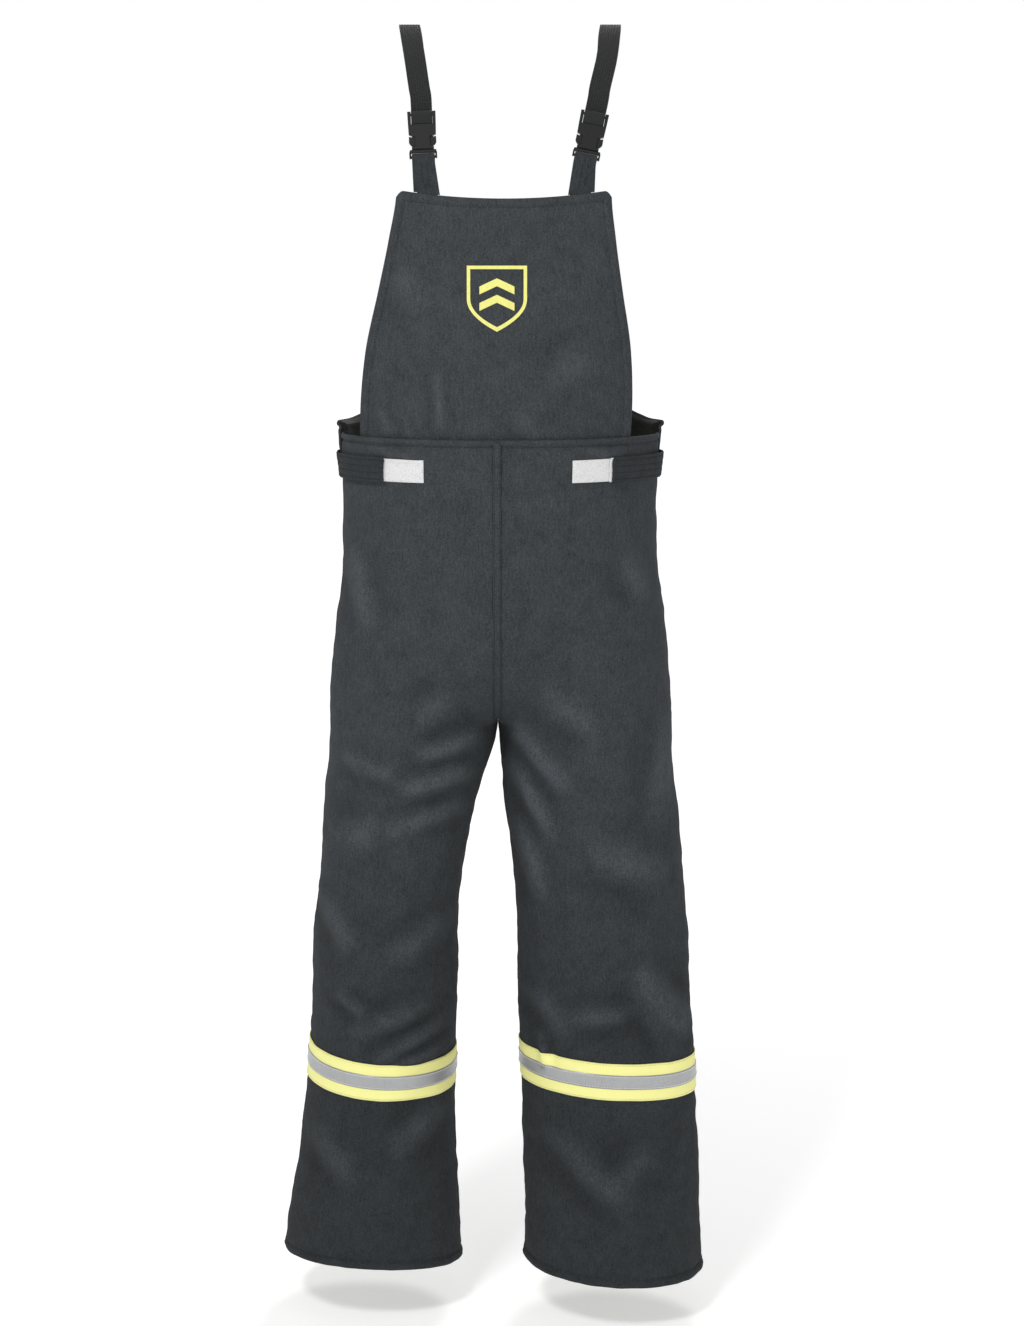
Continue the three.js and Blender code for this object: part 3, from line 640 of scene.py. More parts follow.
def laid_on(obj, face):
    """Places (x, z) points on a mesh as met from in front (-1) or behind (1)."""
    faces = [polygon.vertices[:] for polygon in obj.data.polygons]
    surface = BVHTree.FromPolygons([obj.matrix_world @ vert.co for vert in obj.data.vertices], faces)

    def place(x, z, out):
        at, normal, _, _ = surface.ray_cast(Vector((x, face, z)), Vector((0, -face, 0)))
        if at is None:
            raise RuntimeError(f"{obj.name} has no surface at {x:.4f}, {z:.4f}")
        return at + normal * out

    return place


def boxed(place, x0, z0, x1, z1):
    """The four lines of a box of stitching."""
    corners = [(x0, z0), (x1, z0), (x1, z1), (x0, z1), (x0, z0)]
    return [(place, a, b) for a, b in zip(corners, corners[1:])]


def dressed(node, name, material, bevel):
    """A copy of a hard CAD node with broken edges."""
    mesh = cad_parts[node].data.copy()
    mesh.name = name
    bm = bmesh.new()
    bm.from_mesh(mesh)
    bmesh.ops.remove_doubles(bm, verts=bm.verts, dist=1e-5)
    bmesh.ops.dissolve_limit(bm, angle_limit=math.radians(2), verts=bm.verts, edges=bm.edges)
    for face in bm.faces:
        face.smooth = True
    bm.to_mesh(mesh)
    bm.free()
    piece = new_object(name, mesh, material)
    rounded = piece.modifiers.new("Edges", "BEVEL")
    rounded.width = bevel
    rounded.segments = 2
    rounded.limit_method = "ANGLE"
    rounded.angle_limit = math.radians(28)
    rounded.use_clamp_overlap = True
    weighted = piece.modifiers.new("Normals", "WEIGHTED_NORMAL")
    weighted.keep_sharp = True
    return piece


def settle(piece, nodes, body=ROOT):
    """Rides a piece on its body and lets it stand for its CAD nodes."""
    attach(piece, body)
    if nodes:
        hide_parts(*nodes)
    return piece


# ---- Shader groups ----


def new_group(name, inputs, outputs):
    group = bpy.data.node_groups.new(name, "ShaderNodeTree")
    for label, kind in inputs:
        group.interface.new_socket(name=label, in_out="INPUT", socket_type=kind)
    for label, kind in outputs:
        group.interface.new_socket(name=label, in_out="OUTPUT", socket_type=kind)
    return group, add_node(group, "NodeGroupInput"), add_node(group, "NodeGroupOutput")


def add_node(tree, kind, **settings):
    node = tree.nodes.new(kind)
    for key, value in settings.items():
        setattr(node, key, value)
    return node


def math_node(tree, operation, a, b):
    node = add_node(tree, "ShaderNodeMath", operation=operation)
    for socket, value in zip(node.inputs, (a, b)):
        if hasattr(value, "links"):
            tree.links.new(value, socket)
        else:
            socket.default_value = value
    return node.outputs[0]


def noise_node(tree, vector, scale, detail=2.0, roughness=0.55):
    node = add_node(tree, "ShaderNodeTexNoise")
    tree.links.new(vector, node.inputs["Vector"])
    if hasattr(scale, "links"):
        tree.links.new(scale, node.inputs["Scale"])
    else:
        node.inputs["Scale"].default_value = scale
    node.inputs["Detail"].default_value = detail
    node.inputs["Roughness"].default_value = roughness
    return node.outputs["Fac"]


def split_node(tree, vector):
    node = add_node(tree, "ShaderNodeSeparateXYZ")
    tree.links.new(vector, node.inputs[0])
    return node.outputs


def spread_node(tree, value, low, high, to_low=0.0, to_high=1.0, **settings):
    """Spreads a value's range over another."""
    node = add_node(tree, "ShaderNodeMapRange", **settings)
    tree.links.new(value, node.inputs["Value"])
    for label, number in (("From Min", low), ("From Max", high), ("To Min", to_low), ("To Max", to_high)):
        node.inputs[label].default_value = number
    return node.outputs["Result"]


FLOAT, VECTOR = "NodeSocketFloat", "NodeSocketVector"


def fibre_group():
    """Brushed fibre: Shade varies round 0.5 with grain, flecks and slow mottling; Height is its nap."""
    group, given, result = new_group(
        "Brushed fibre", [("Vector", VECTOR), ("Grain", FLOAT), ("Mottle", FLOAT)],
        [("Shade", FLOAT), ("Height", FLOAT)],
    )
    vector = given.outputs["Vector"]
    fine = noise_node(group, vector, given.outputs["Grain"], 3.0, 0.7)
    slow = noise_node(group, vector, given.outputs["Mottle"], 4.0, 0.6)
    stretched = add_node(group, "ShaderNodeMapping")
    stretched.inputs["Scale"].default_value = (1.0, 1.0, 0.22)
    group.links.new(vector, stretched.inputs["Vector"])
    streak_scale = math_node(group, "MULTIPLY", given.outputs["Grain"], 0.8)
    streak = noise_node(group, stretched.outputs["Vector"], streak_scale)
    fine = math_node(group, "MULTIPLY", fine, 0.5)
    streak = math_node(group, "MULTIPLY", streak, 0.2)
    grain = math_node(group, "ADD", fine, streak)
    shade = math_node(group, "ADD", grain, math_node(group, "MULTIPLY", slow, 0.17))
    group.links.new(shade, result.inputs["Shade"])
    group.links.new(grain, result.inputs["Height"])
    return group


def weave_group():
    """Crossed threads on a UV map in metres: Height is that of the threads."""
    group, given, result = new_group(
        "Crossed threads", [("Vector", VECTOR), ("Warp", FLOAT), ("Weft", FLOAT)], [("Height", FLOAT)]
    )
    place = split_node(group, given.outputs["Vector"])
    waves = []
    for axis, threads in (("X", "Warp"), ("Y", "Weft")):
        turns = math_node(group, "MULTIPLY", given.outputs[threads], 2 * math.pi)
        waves.append(math_node(group, "SINE", math_node(group, "MULTIPLY", place[axis], turns), 0))
    height = math_node(group, "MULTIPLY", math_node(group, "ADD", *waves), 0.25)
    height = math_node(group, "ADD", height, 0.5)
    group.links.new(height, result.inputs["Height"])
    return group


# ---- Materials ----


class Finish:
    """A material being put together: its tree, its shader and the usual coordinate outputs."""

    def __init__(self, name, roughness, **settings):
        self.material = bpy.data.materials.new(name)
        self.material.use_nodes = True
        self.tree = self.material.node_tree
        self.shader = self.tree.nodes["Principled BSDF"]
        self.shader.inputs["Roughness"].default_value = roughness
        for label, value in settings.items():
            self.shader.inputs[label.replace("_", " ")].default_value = value
        self.place = add_node(self.tree, "ShaderNodeTexCoord")

    def group(self, group, vector, **values):
        node = add_node(self.tree, "ShaderNodeGroup", node_tree=group)
        self.tree.links.new(self.place.outputs[vector], node.inputs["Vector"])
        for label, value in values.items():
            node.inputs[label].default_value = value
        return node.outputs

    def between(self, factor, low, high):
        node = add_node(self.tree, "ShaderNodeMix", data_type="RGBA", clamp_factor=True)
        self.tree.links.new(factor, node.inputs[0])
        for socket, value in ((node.inputs[6], low), (node.inputs[7], high)):
            if hasattr(value, "links"):
                self.tree.links.new(value, socket)
            else:
                socket.default_value = (*value, 1.0)
        return node.outputs[2]

    def spread(self, value, *ranges):
        return spread_node(self.tree, value, *ranges)

    def colour(self, socket):
        self.tree.links.new(socket, self.shader.inputs["Base Color"])

    def shade(self, fibre, colour, dark, light, high=0.7):
        """Colours the surface between two shares of its colour, by its fibre."""
        factor = self.spread(fibre["Shade"], 0.3, high)
        self.colour(self.between(factor, scaled(colour, dark), scaled(colour, light)))

    def bump(self, height, depth, strength):
        node = add_node(self.tree, "ShaderNodeBump")
        node.inputs["Distance"].default_value = depth
        node.inputs["Strength"].default_value = strength
        self.tree.links.new(height, node.inputs["Height"])
        self.tree.links.new(node.outputs["Normal"], self.shader.inputs["Normal"])


def scaled(colour, factor):
    return tuple(min(1.0, channel * factor) for channel in colour)


def shell_cloth(groups, name, colour):
    """Charcoal brushed cloth, a little darker down the legs, with painted shade in the hollows of its folds
    and painted highlight on their ridges.
    """
    finish = Finish(name, 0.95, Sheen_Weight=0.02, Sheen_Roughness=0.5, Specular_IOR_Level=0.06)
    fibre = finish.group(groups["fibre"], "Object", Grain=520.0, Mottle=38.0)
    weave = finish.group(groups["weave"], "UV", Warp=620.0, Weft=620.0)
    factor = finish.spread(fibre["Shade"], 0.25, 0.62)
    upper = finish.between(factor, scaled(colour, 0.40), scaled(colour, 1.70))
    lower = finish.between(factor, scaled(colour, 0.30), scaled(colour, 1.25))
    down = finish.spread(split_node(finish.tree, finish.place.outputs["Object"])["Z"], -0.95, -1.36)
    # Painted shade and highlight: the noted fold height darkens the colour in the folds' hollows and lightens
    # it on their ridges; the node called worn applies this painted fold shade.
    folded = add_node(finish.tree, "ShaderNodeAttribute", attribute_name="crease")
    worn = add_node(finish.tree, "ShaderNodeVectorMath", operation="SCALE")
    painted_fold_shade = finish.spread(folded.outputs["Fac"], -0.004, 0.006, 0.68, 1.48)
    finish.tree.links.new(finish.between(down, upper, lower), worn.inputs[0])
    finish.tree.links.new(painted_fold_shade, worn.inputs["Scale"])
    finish.colour(worn.outputs[0])
    threads = math_node(finish.tree, "MULTIPLY", weave["Height"], 0.35)
    finish.bump(math_node(finish.tree, "ADD", fibre["Height"], threads), 0.0010, 0.8)
    return finish.material


def plain(groups, name, colour, roughness, grain, mottle, tones, depth, strength, **settings):
    """A surface whose colour and nap both follow its fibre."""
    finish = Finish(name, roughness, **settings)
    fibre = finish.group(groups["fibre"], "Object", Grain=grain, Mottle=mottle)
    finish.shade(fibre, colour, *tones)
    finish.bump(fibre["Height"], depth, strength)
    return finish.material


def woven_tape(groups, name, colour, warp, weft, depth=0.0005, contrast=0.35):
    finish = Finish(name, 0.82, Sheen_Weight=0.1, Specular_IOR_Level=0.3)
    weave = finish.group(groups["weave"], "UV", Warp=warp, Weft=weft)
    fibre = finish.group(groups["fibre"], "Object", Grain=900.0, Mottle=60.0)
    worn = finish.spread(fibre["Shade"], 0.2, 0.8, 0.7, 1.3)
    tone = finish.spread(math_node(finish.tree, "MULTIPLY", weave["Height"], worn), 0.15, 0.85)
    finish.colour(finish.between(tone, scaled(colour, 1 - contrast), scaled(colour, 1 + contrast)))
    finish.bump(weave["Height"], depth, 0.9)
    return finish.material


def reflective_tape(groups, colour):
    """Silver bead-coated tape with its faint cells."""
    finish = Finish("Reflective tape", 0.42, Metallic=0.35, Specular_IOR_Level=0.6, Coat_Weight=0.1)
    cells = add_node(finish.tree, "ShaderNodeTexVoronoi", feature="DISTANCE_TO_EDGE")
    cells.inputs["Scale"].default_value = 520.0
    finish.tree.links.new(finish.place.outputs["UV"], cells.inputs["Vector"])
    fibre = finish.group(groups["fibre"], "Object", Grain=1400.0, Mottle=26.0)
    worn = finish.spread(fibre["Shade"], 0.32, 0.68)
    beads = finish.between(worn, scaled(colour, 0.82), scaled(colour, 1.14))
    inside = finish.spread(cells.outputs["Distance"], 0.0, 0.12)
    finish.colour(finish.between(inside, scaled(colour, 0.7), beads))
    finish.bump(cells.outputs["Distance"], 0.0002, 0.6)
    return finish.material


def hook_and_loop(groups, colour):
    finish = Finish("Hook and loop", 0.95, Sheen_Weight=0.5, Specular_IOR_Level=0.2)
    loops = add_node(finish.tree, "ShaderNodeTexVoronoi")
    loops.inputs["Scale"].default_value = 900.0
    finish.tree.links.new(finish.place.outputs["UV"], loops.inputs["Vector"])
    fibre = finish.group(groups["fibre"], "Object", Grain=1500.0, Mottle=110.0)
    worn = finish.spread(fibre["Shade"], 0.3, 0.7, 0.0, 0.5)
    tone = math_node(finish.tree, "ADD", loops.outputs["Distance"], worn)
    finish.colour(finish.between(finish.spread(tone, 0.1, 1.0), scaled(colour, 1.0), scaled(colour, 0.72)))
    finish.bump(tone, 0.0008, 0.9)
    return finish.material


def moulded_plastic(groups, colour):
    finish = Finish("Moulded plastic", 0.48, Specular_IOR_Level=0.28)
    fibre = finish.group(groups["fibre"], "Object", Grain=2600.0, Mottle=240.0)
    finish.shade(fibre, colour, 0.85, 1.25)
    rough = finish.spread(fibre["Shade"], 0.3, 0.7, 0.36, 0.56)
    finish.tree.links.new(rough, finish.shader.inputs["Roughness"])
    finish.bump(fibre["Height"], 0.00012, 0.5)
    return finish.material


def thread(groups, name, colour):
    return plain(groups, name, colour, 0.75, 5200.0, 90.0, (0.7, 1.3), 0.0001, 0.6, Specular_IOR_Level=0.3)


MATERIALS = {}


def finishes(context):
    """The materials, made once."""
    if not MATERIALS:
        colours = context.scene.overall_colours
        groups = {"fibre": fibre_group(), "weave": weave_group()}
        MATERIALS.update(
            shell=shell_cloth(groups, "Shell cloth", colours.shell),
            strap=shell_cloth(groups, "Strap cloth", scaled(colours.shell, 0.72)),
            lining=plain(groups, "Lining felt", colours.lining, 0.98, 420.0, 70.0, (0.6, 1.25), 0.0016, 0.9,
                         Sheen_Weight=0.3, Specular_IOR_Level=0.1),
            facing=woven_tape(groups, "Facing tape", colours.tape, 420.0, 420.0),
            webbing=woven_tape(groups, "Elastic webbing", colours.webbing, 330.0, 560.0, 0.0009, 0.5),
            lime=woven_tape(groups, "Lime trim", colours.lime, 900.0, 900.0, 0.0003, 0.1),
            silver=reflective_tape(groups, colours.silver),
            loop=hook_and_loop(groups, colours.hook_and_loop),
            plastic=moulded_plastic(groups, colours.plastic),
            print=plain(groups, "Screen print", colours.emblem, 0.55, 1500.0, 160.0, (0.72, 1.05, 0.62),
                        0.0002, 0.7, Specular_IOR_Level=0.35),
            dark_thread=thread(groups, "Dark thread", colours.dark_thread),
            lime_thread=thread(groups, "Lime thread", colours.lime_thread),
            white_thread=thread(groups, "White thread", (0.90, 0.90, 0.89)),
        )
    return MATERIALS


# ---- Properties ----


def colour_property(name, description, value):
    return FloatVectorProperty(
        name=name, description=description, subtype="COLOR", min=0, max=1, default=value
    )


def length_property(name, description, value):
    return FloatProperty(
        name=name, description=description, unit="LENGTH", subtype="DISTANCE", min=0, default=value
    )


class OverallSizes(PropertyGroup):
    """Sizes that can be changed without touching the frame."""

    fold_strength: FloatProperty(
        name="Fold Strength", description="Depth of the folds, 1 as worn in", default=1.0, min=0, max=2
    )
    stitch_length: length_property("Stitch Length", "Length of one stitch", 0.0027)
    stitch_pitch: length_property("Stitch Pitch", "Distance from one stitch to the next", 0.0036)
    floor_gap: length_property("Floor Gap", "Height of the hems above the floor", 0.06)


class OverallColours(PropertyGroup):
    """Colours of the cloth, tapes and fittings."""

    shell: colour_property("Shell Cloth", "Brushed outer cloth", (0.0392, 0.0436, 0.0474))
    lining: colour_property("Lining", "Needled felt lining", (0.42, 0.41, 0.19))
    tape: colour_property("Facing Tape", "Tape inside the waist and hems", (0.012, 0.013, 0.014))
    webbing: colour_property("Webbing", "Elastic suspender webbing", (0.0110, 0.0115, 0.0123))
    lime: colour_property("Trim", "Fluorescent trim", (0.93, 0.90, 0.34))
    silver: colour_property("Reflective Tape", "Bead-coated tape", (0.42, 0.425, 0.43))
    hook_and_loop: colour_property("Hook and Loop", "Closure patches", (0.82, 0.82, 0.82))
    plastic: colour_property("Buckles", "Moulded buckles", (0.0045, 0.0047, 0.0049))
    emblem: colour_property("Emblem", "Printed emblem", (0.80, 0.78, 0.22))
    dark_thread: colour_property("Thread", "Thread of the outer cloth", (0.010, 0.0105, 0.011))
    lime_thread: colour_property("Trim Thread", "Thread along the trim", (0.62, 0.62, 0.30))


# ---- Operators ----


class OVERALL_OT_trousers(Operator):
    """Build the four outer cloth panels with folds, rolled edges and seams"""

    bl_idname = "overall.trousers"
    bl_label = "Trouser Panels"

    def execute(self, context):
        material = finishes(context)["shell"]
        size = (0.36, 1.13)
        columns, rows = edged(54, size[0]), edged(210, size[1])
        for side in SIDES:
            for face, word in FACES:

                def place(u, v, out, side=side, face=face):
                    z = mix(HEM_Z, top_edge(face, u), v)
                    return cloth_point(side, face, u, z, out)

                name = f"{side.name}_{word}"
                piece = cloth(f"{name}_cloth", columns, rows, place, size, material, SHELL)
                # The noted fold heights paint shade into the hollows and highlight onto the ridges of this
                # panel's colour.
                note_fold_shade_heights(piece, FOLDS[side.name, face])
                settle(piece, [f"{name}_panel"])
        return {"FINISHED"}


class OVERALL_OT_linings(Operator):
    """Build the felt lining panels, the waist facing and the hem facings"""

    bl_idname = "overall.linings"
    bl_label = "Linings and Facings"

    def execute(self, context):
        materials = finishes(context)
        for side in SIDES:
            for face, word in FACES:

                def place(u, v, out, side=side, face=face):
                    z = mix(HEM_Z + LINING_ABOVE_HEM, top_edge(face, u) - LINING_BELOW_EDGE[face], v)
                    across = u * (1 - LINING_VENT * vent_opening(z))
                    return lining_point(side, face, across, z, LINING_OUT + out)

                felted = cloth(
                    f"{side.name}_{word}_felt", shares(44), shares(130), place, (0.36, 1.12),
                    materials["lining"], LINING,
                )
                settle(felted, [f"{side.name}_{word}_lining"])

            def tape(u, v, out, side=side):
                across = mix(0.004, 0.996, u)
                depth = WAIST_FACING * (1 - v)
                over = smooth(1 - depth / WAIST_FACING_TURN)
                end = smooth(1 - (1 - u) / WAIST_FACING_ENDS)
                level = mix(FACING_OUT, -0.0022, max(over, end))
                return lining_point(side, 1, across, top_edge(1, across) - 0.0002 - depth, level + out)

            facing = cloth(
                f"{side.name}_waist_tape", shares(110), edged(14, WAIST_FACING), tape, (0.29, 0.040),
                materials["facing"], FACING,
            )
            settle(facing, [f"{side.name}_waist_facing"])

            def hem(u, v, out, side=side):
                z = HEM_Z + LINING_ABOVE_HEM + HEM_FACING * v
                return ring_point(side, 2 * u, z, FACING_OUT + out)

            inside = cloth(
                f"{side.name}_hem_tape", shares(96), shares(8), hem, (0.64, HEM_FACING), materials["facing"],
                FACING, closed=True,
            )
            settle(inside, [f"{side.name}_hem_facing"])
        return {"FINISHED"}


class OVERALL_OT_seams(Operator):
    """Build the felled rise seams and the stitching of waist and hems"""

    bl_idname = "overall.seams"
    bl_label = "Seams and Stitching"

    def execute(self, context):
        material = finishes(context)["shell"]
        for face, word in FACES:

            def place(u, v, out, face=face):
                z = mix(CROTCH_Z + SEAM_ABOVE_CROTCH, top_edge(face, 0) - 0.003, v**1.5)
                crown = 0.0010 * (1 - (2 * u - 1) ** 4)
                return seam_point(face, (u - 0.5) * SEAM_WIDTH, z, SEAM_LIFT + crown + out)

            seam = cloth(f"{word}_rise_fell", shares(12), shares(180), place, (SEAM_WIDTH, 0.37), material,
                         SEAM_THICKNESS)
            settle(seam, [f"{word}_rise_seam"])
            lines = [(place, (u, 0.0), (u, 1.0)) for u in (0.16, 0.84)]
            stitches = dark_stitches(context, f"{word}_rise_stitches", lines)
            settle(stitches, [])

        lines = []
        for side in SIDES:
            for face, _ in FACES:

                def below(across, depth, out, side=side, face=face):
                    return cloth_point(side, face, across, top_edge(face, across) - depth, out)

                def above(across, depth, out, side=side, face=face):
                    return cloth_point(side, face, across, HEM_Z + depth, out)

                lines.append((below, (0.03, 0.0095), (0.985, 0.0095)))
                lines.append((above, (0.01, 0.0115), (0.99, 0.0115)))
        settle(dark_stitches(context, "edge_stitches", lines, 0.0008), [])
        return {"FINISHED"}


class OVERALL_OT_trims(Operator):
    """Build the fluorescent and reflective trims round the legs"""

    bl_idname = "overall.trims"
    bl_label = "Reflective Trims"

    def execute(self, context):
        materials = finishes(context)
        for side in SIDES:

            def band(width, lift, side=side):
                def place(u, v, out):
                    return ring_point(side, 2 * u, TRIM_Z + (v - 0.5) * width, lift + out)
                return place

            base, tape = band(TRIM_WIDTH, TRIM_OUT), band(TRIM_TAPE, TRIM_TAPE_OUT)
            lime = cloth(f"{side.name}_lime_trim", shares(150), shares(14), base, (0.65, TRIM_WIDTH),
                         materials["lime"], TRIM_THICKNESS, closed=True)
            silver = cloth(f"{side.name}_silver_trim", shares(150), shares(6), tape, (0.65, TRIM_TAPE),
                           materials["silver"], TRIM_TAPE_THICKNESS, closed=True)
            settle(lime, [f"{side.name}_trim_base"])
            settle(silver, [f"{side.name}_trim_reflective"])
            white = sewn(
                f"{side.name}_silver_stitches", [(tape, (0.0, v), (1.0, v)) for v in (0.11, 0.89)],
                materials["white_thread"], 0.0034, 0.0022, 0.0013, 0.0003,
            )
            yellow = sewn(
                f"{side.name}_trim_stitches", [(base, (0.0, v), (1.0, v)) for v in (0.045, 0.955)],
                materials["lime_thread"], 0.0034, 0.0024, 0.0007, 0.0001,
            )
            settle(white, [])
            settle(yellow, [])
        return {"FINISHED"}


class OVERALL_OT_bib(Operator):
    """Build the bib, its lining and its edge stitching"""

    bl_idname = "overall.bib"
    bl_label = "Bib"

    def execute(self, context):
        materials = finishes(context)

        def place(u, v, out):
            return bib_point(2 * u - 1, v, out)

        bib = cloth("bib_cloth", edged(90, 0.30), edged(84, 0.32), place, (0.32, 0.32), materials["shell"],
                    SHELL)
        # The noted fold heights paint shade into the hollows and highlight onto the ridges of the bib's
        # colour.
        note_fold_shade_heights(bib, BIB_FOLDS)
        settle(bib, ["bib_panel"])

        def inner(u, v, out):
            across, up = (2 * u - 1) * 0.98, v * 0.98
            return bib_flat(across, up, BIB_LINING_OUT + out + bib_relief(across, up))

        lining = cloth("bib_felt", shares(50), shares(50), inner, (0.31, 0.31), materials["lining"], LINING)
        settle(lining, ["bib_lining"])

        def under_top(across, depth, out):
            return bib_point(across, 1 - depth, out)

        def beside(sign):
            def at(depth, up, out):
                z = mix(WAIST_Z - BIB_TUCK, BIB_TOP_Z, up)
                return bib_point(sign * (1 - depth / bib_half_width(z)), up, out)
            return at

        inside, length = 0.0112, 0.31
        lines = [(under_top, (-0.93, inside / length), (0.93, inside / length))]
        lines += [(beside(sign), (inside, 0.07), (inside, 0.965)) for sign in (-1, 1)]
        stitches = dark_stitches(context, "bib_stitches", lines)
        settle(stitches, [])
        return {"FINISHED"}


class OVERALL_OT_emblem(Operator):
    """Build the printed shield and chevrons on the bib"""

    bl_idname = "overall.emblem"
    bl_label = "Emblem"

    def execute(self, context):
        half_width, half_height = EMBLEM_WIDTH / 2, EMBLEM_HEIGHT / 2
        centre_z = BIB_TOP_Z - EMBLEM_BELOW_BIB_TOP

        def outline(inset):
            """A shield's outline, each half from the middle of its upper edge to its point."""
            wide, tall = half_width - inset, half_height - inset
            upper = [(wide * k / 6, tall) for k in range(6)]
            sides = [(wide, mix(tall, 0, k / 6)) for k in range(6)]
            lower = [(wide * (1 - (k / 14) ** 2.1), -(tall - inset * 0.3) * k / 14) for k in range(15)]
            half = upper + sides + lower
            return half + [(-x, z) for x, z in reversed(half[1:-1])]

        rings = [outline(0.0), outline(EMBLEM_LINE)]
        around = len(rings[0])
        bm = bmesh.new()
        band = bmesh.ops.create_grid(bm, x_segments=around, y_segments=1, size=0.5)
        for vert in band["verts"]:
            x, z = rings[round(vert.co.y + 0.5)][round((vert.co.x + 0.5) * around) % around]
            vert.co = on_bib(CENTRE_X + x, centre_z + z, EMBLEM_LIFT)
        bmesh.ops.remove_doubles(bm, verts=bm.verts, dist=1e-6)
        for level in CHEVRON_LEVELS:
            grid = bmesh.ops.create_grid(bm, x_segments=32, y_segments=2, size=0.5)
            for vert in grid["verts"]:
                across = vert.co.x * 2
                x = across * CHEVRON_HALF_WIDTH
                z = level + CHEVRON_RISE * (1 - abs(across)) + vert.co.y * CHEVRON_BAND
                vert.co = on_bib(CENTRE_X + x, centre_z + z, EMBLEM_LIFT)
        bm.normal_update()
        for face in bm.faces:
            if face.normal.y > 0:
                face.normal_flip()
        piece = made_of(bm, "bib_print", finishes(context)["print"])
        solid = piece.modifiers.new("Thickness", "SOLIDIFY")
        solid.thickness = 0.0004
        solid.offset = 0
        settle(piece, ["bib_emblem"])
        return {"FINISHED"}


def waist_point(side, turn, z, out):
    """The turn starts at the centre front and is a right angle at the side."""
    quarter = turn / (math.pi / 2)
    face, across = (-1, quarter) if quarter <= 1 else (1, 2 - quarter)
    height = relief(side, face, min(1, across / vent_share(z)), z, edges=False)
    return panel_point(side, face, across, z, out + height)


def turn_at(x):
    return math.asin(x / hip_half_width(TAKEUP_Z))


PATCH_OUT = PLY_GAP
HOOK_OUT = PATCH_OUT + PATCH_THICKNESS + PLY_GAP
TAB_OUT = HOOK_OUT + PATCH_THICKNESS + PLY_GAP


def tab_out(turn, z):
    """The outer face of a take-up strap, down from its hook pad to the panel and on over the vent's flare."""
    quarter = turn / (math.pi / 2)
    if quarter >= 1:
        return TAB_LIFT + vent_flare((2 - quarter) / vent_share(z), z) + TAKEUP_THICKNESS
    return mix(TAB_OUT, TAB_LIFT + vent_flare(1, z), clamp01((quarter - 0.7) / 0.25)) + TAKEUP_THICKNESS


def strip(side, start, end, height, out_at):
    """Places a strip along the waist between two turns, off the panel by what out_at gives."""

    def place(u, v, out):
        turn, z = mix(start, end, u), TAKEUP_Z + (v - 0.5) * height
        return waist_point(side, turn, z, out_at(turn, z) + out)

    return place


def evenly(height):
    return lambda turn, z: height


class OVERALL_OT_takeups(Operator):
    """Build the waist's loop patches, hook pads and take-up straps"""

    bl_idname = "overall.takeups"
    bl_label = "Take-up Straps"

    def execute(self, context):
        materials = finishes(context)
        for side in SIDES:
            name, body = side.name, f"{side.name}_takeup"
            patch_place = strip(
                side, turn_at(PATCH_INNER_X), turn_at(PATCH_INNER_X + PATCH_LENGTH), PATCH_WIDTH,
                evenly(PATCH_OUT + PATCH_THICKNESS),
            )
            patch = cloth(f"{name}_loop_tape", shares(60), shares(18), patch_place,
                          (PATCH_LENGTH, PATCH_WIDTH), materials["loop"], PATCH_THICKNESS)
            settle(patch, [f"{name}_loop_patch"])
            around = boxed(patch_place, 0.03, 0.08, 0.97, 0.92)
            sewing = sewn(f"{name}_loop_stitches", around, materials["white_thread"], 0.0032, 0.0022, 0.0006)
            settle(sewing, [])

            inner, hook_end = turn_at(TAB_INNER_X), turn_at(TAB_INNER_X + HOOK_LENGTH)
            hook_place = strip(
                side, inner + side.hook_start, hook_end, TAKEUP_WIDTH - 0.002,
                evenly(HOOK_OUT + PATCH_THICKNESS),
            )
            hook = cloth(f"{name}_hook_tape", shares(30), shares(16), hook_place, (HOOK_LENGTH, TAKEUP_WIDTH),
                         materials["loop"], PATCH_THICKNESS)
            settle(hook, [f"{name}_hook_pad"], body)

            base = strip(side, inner, ANCHOR_TURN, TAKEUP_WIDTH, tab_out)

            def tab_place(u, v, out, base=base):
                edge = min(u * TAB_LENGTH, v * TAKEUP_WIDTH, (1 - v) * TAKEUP_WIDTH)
                quilt = QUILT_DEPTH * sum(bell((v - at) * TAKEUP_WIDTH, QUILT_WIDTH) for at in QUILT_LINES)
                return base(u, v, out - quilt - TAB_EDGE * bell(edge, TAB_EDGE))

            tab = cloth(f"{name}_takeup_strap", edged(70, 0.2), shares(56), tab_place, (0.2, TAKEUP_WIDTH),
                        materials["strap"], TAKEUP_THICKNESS - 0.0002)
            lines = [(tab_place, (0.012, v), (0.99, v)) for v in QUILT_LINES]
            lines.append((tab_place, (0.012, 0.1), (0.012, 0.9)))
            stitches = dark_stitches(context, f"{name}_takeup_stitches", lines, 0.0008)
            for piece in (tab, stitches):
                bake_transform(piece)
            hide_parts(f"{name}_takeup_tab", f"{name}_takeup_anchor")
        return {"FINISHED"}


# ---- Suspenders ----


def on_back(x, z, out):
    depth = hip_half_depth(min(z, WAIST_Z)) + out
    return Vector((x, depth * math.sqrt(1 - (x / (hip_half_width(z) + out)) ** 2), z))


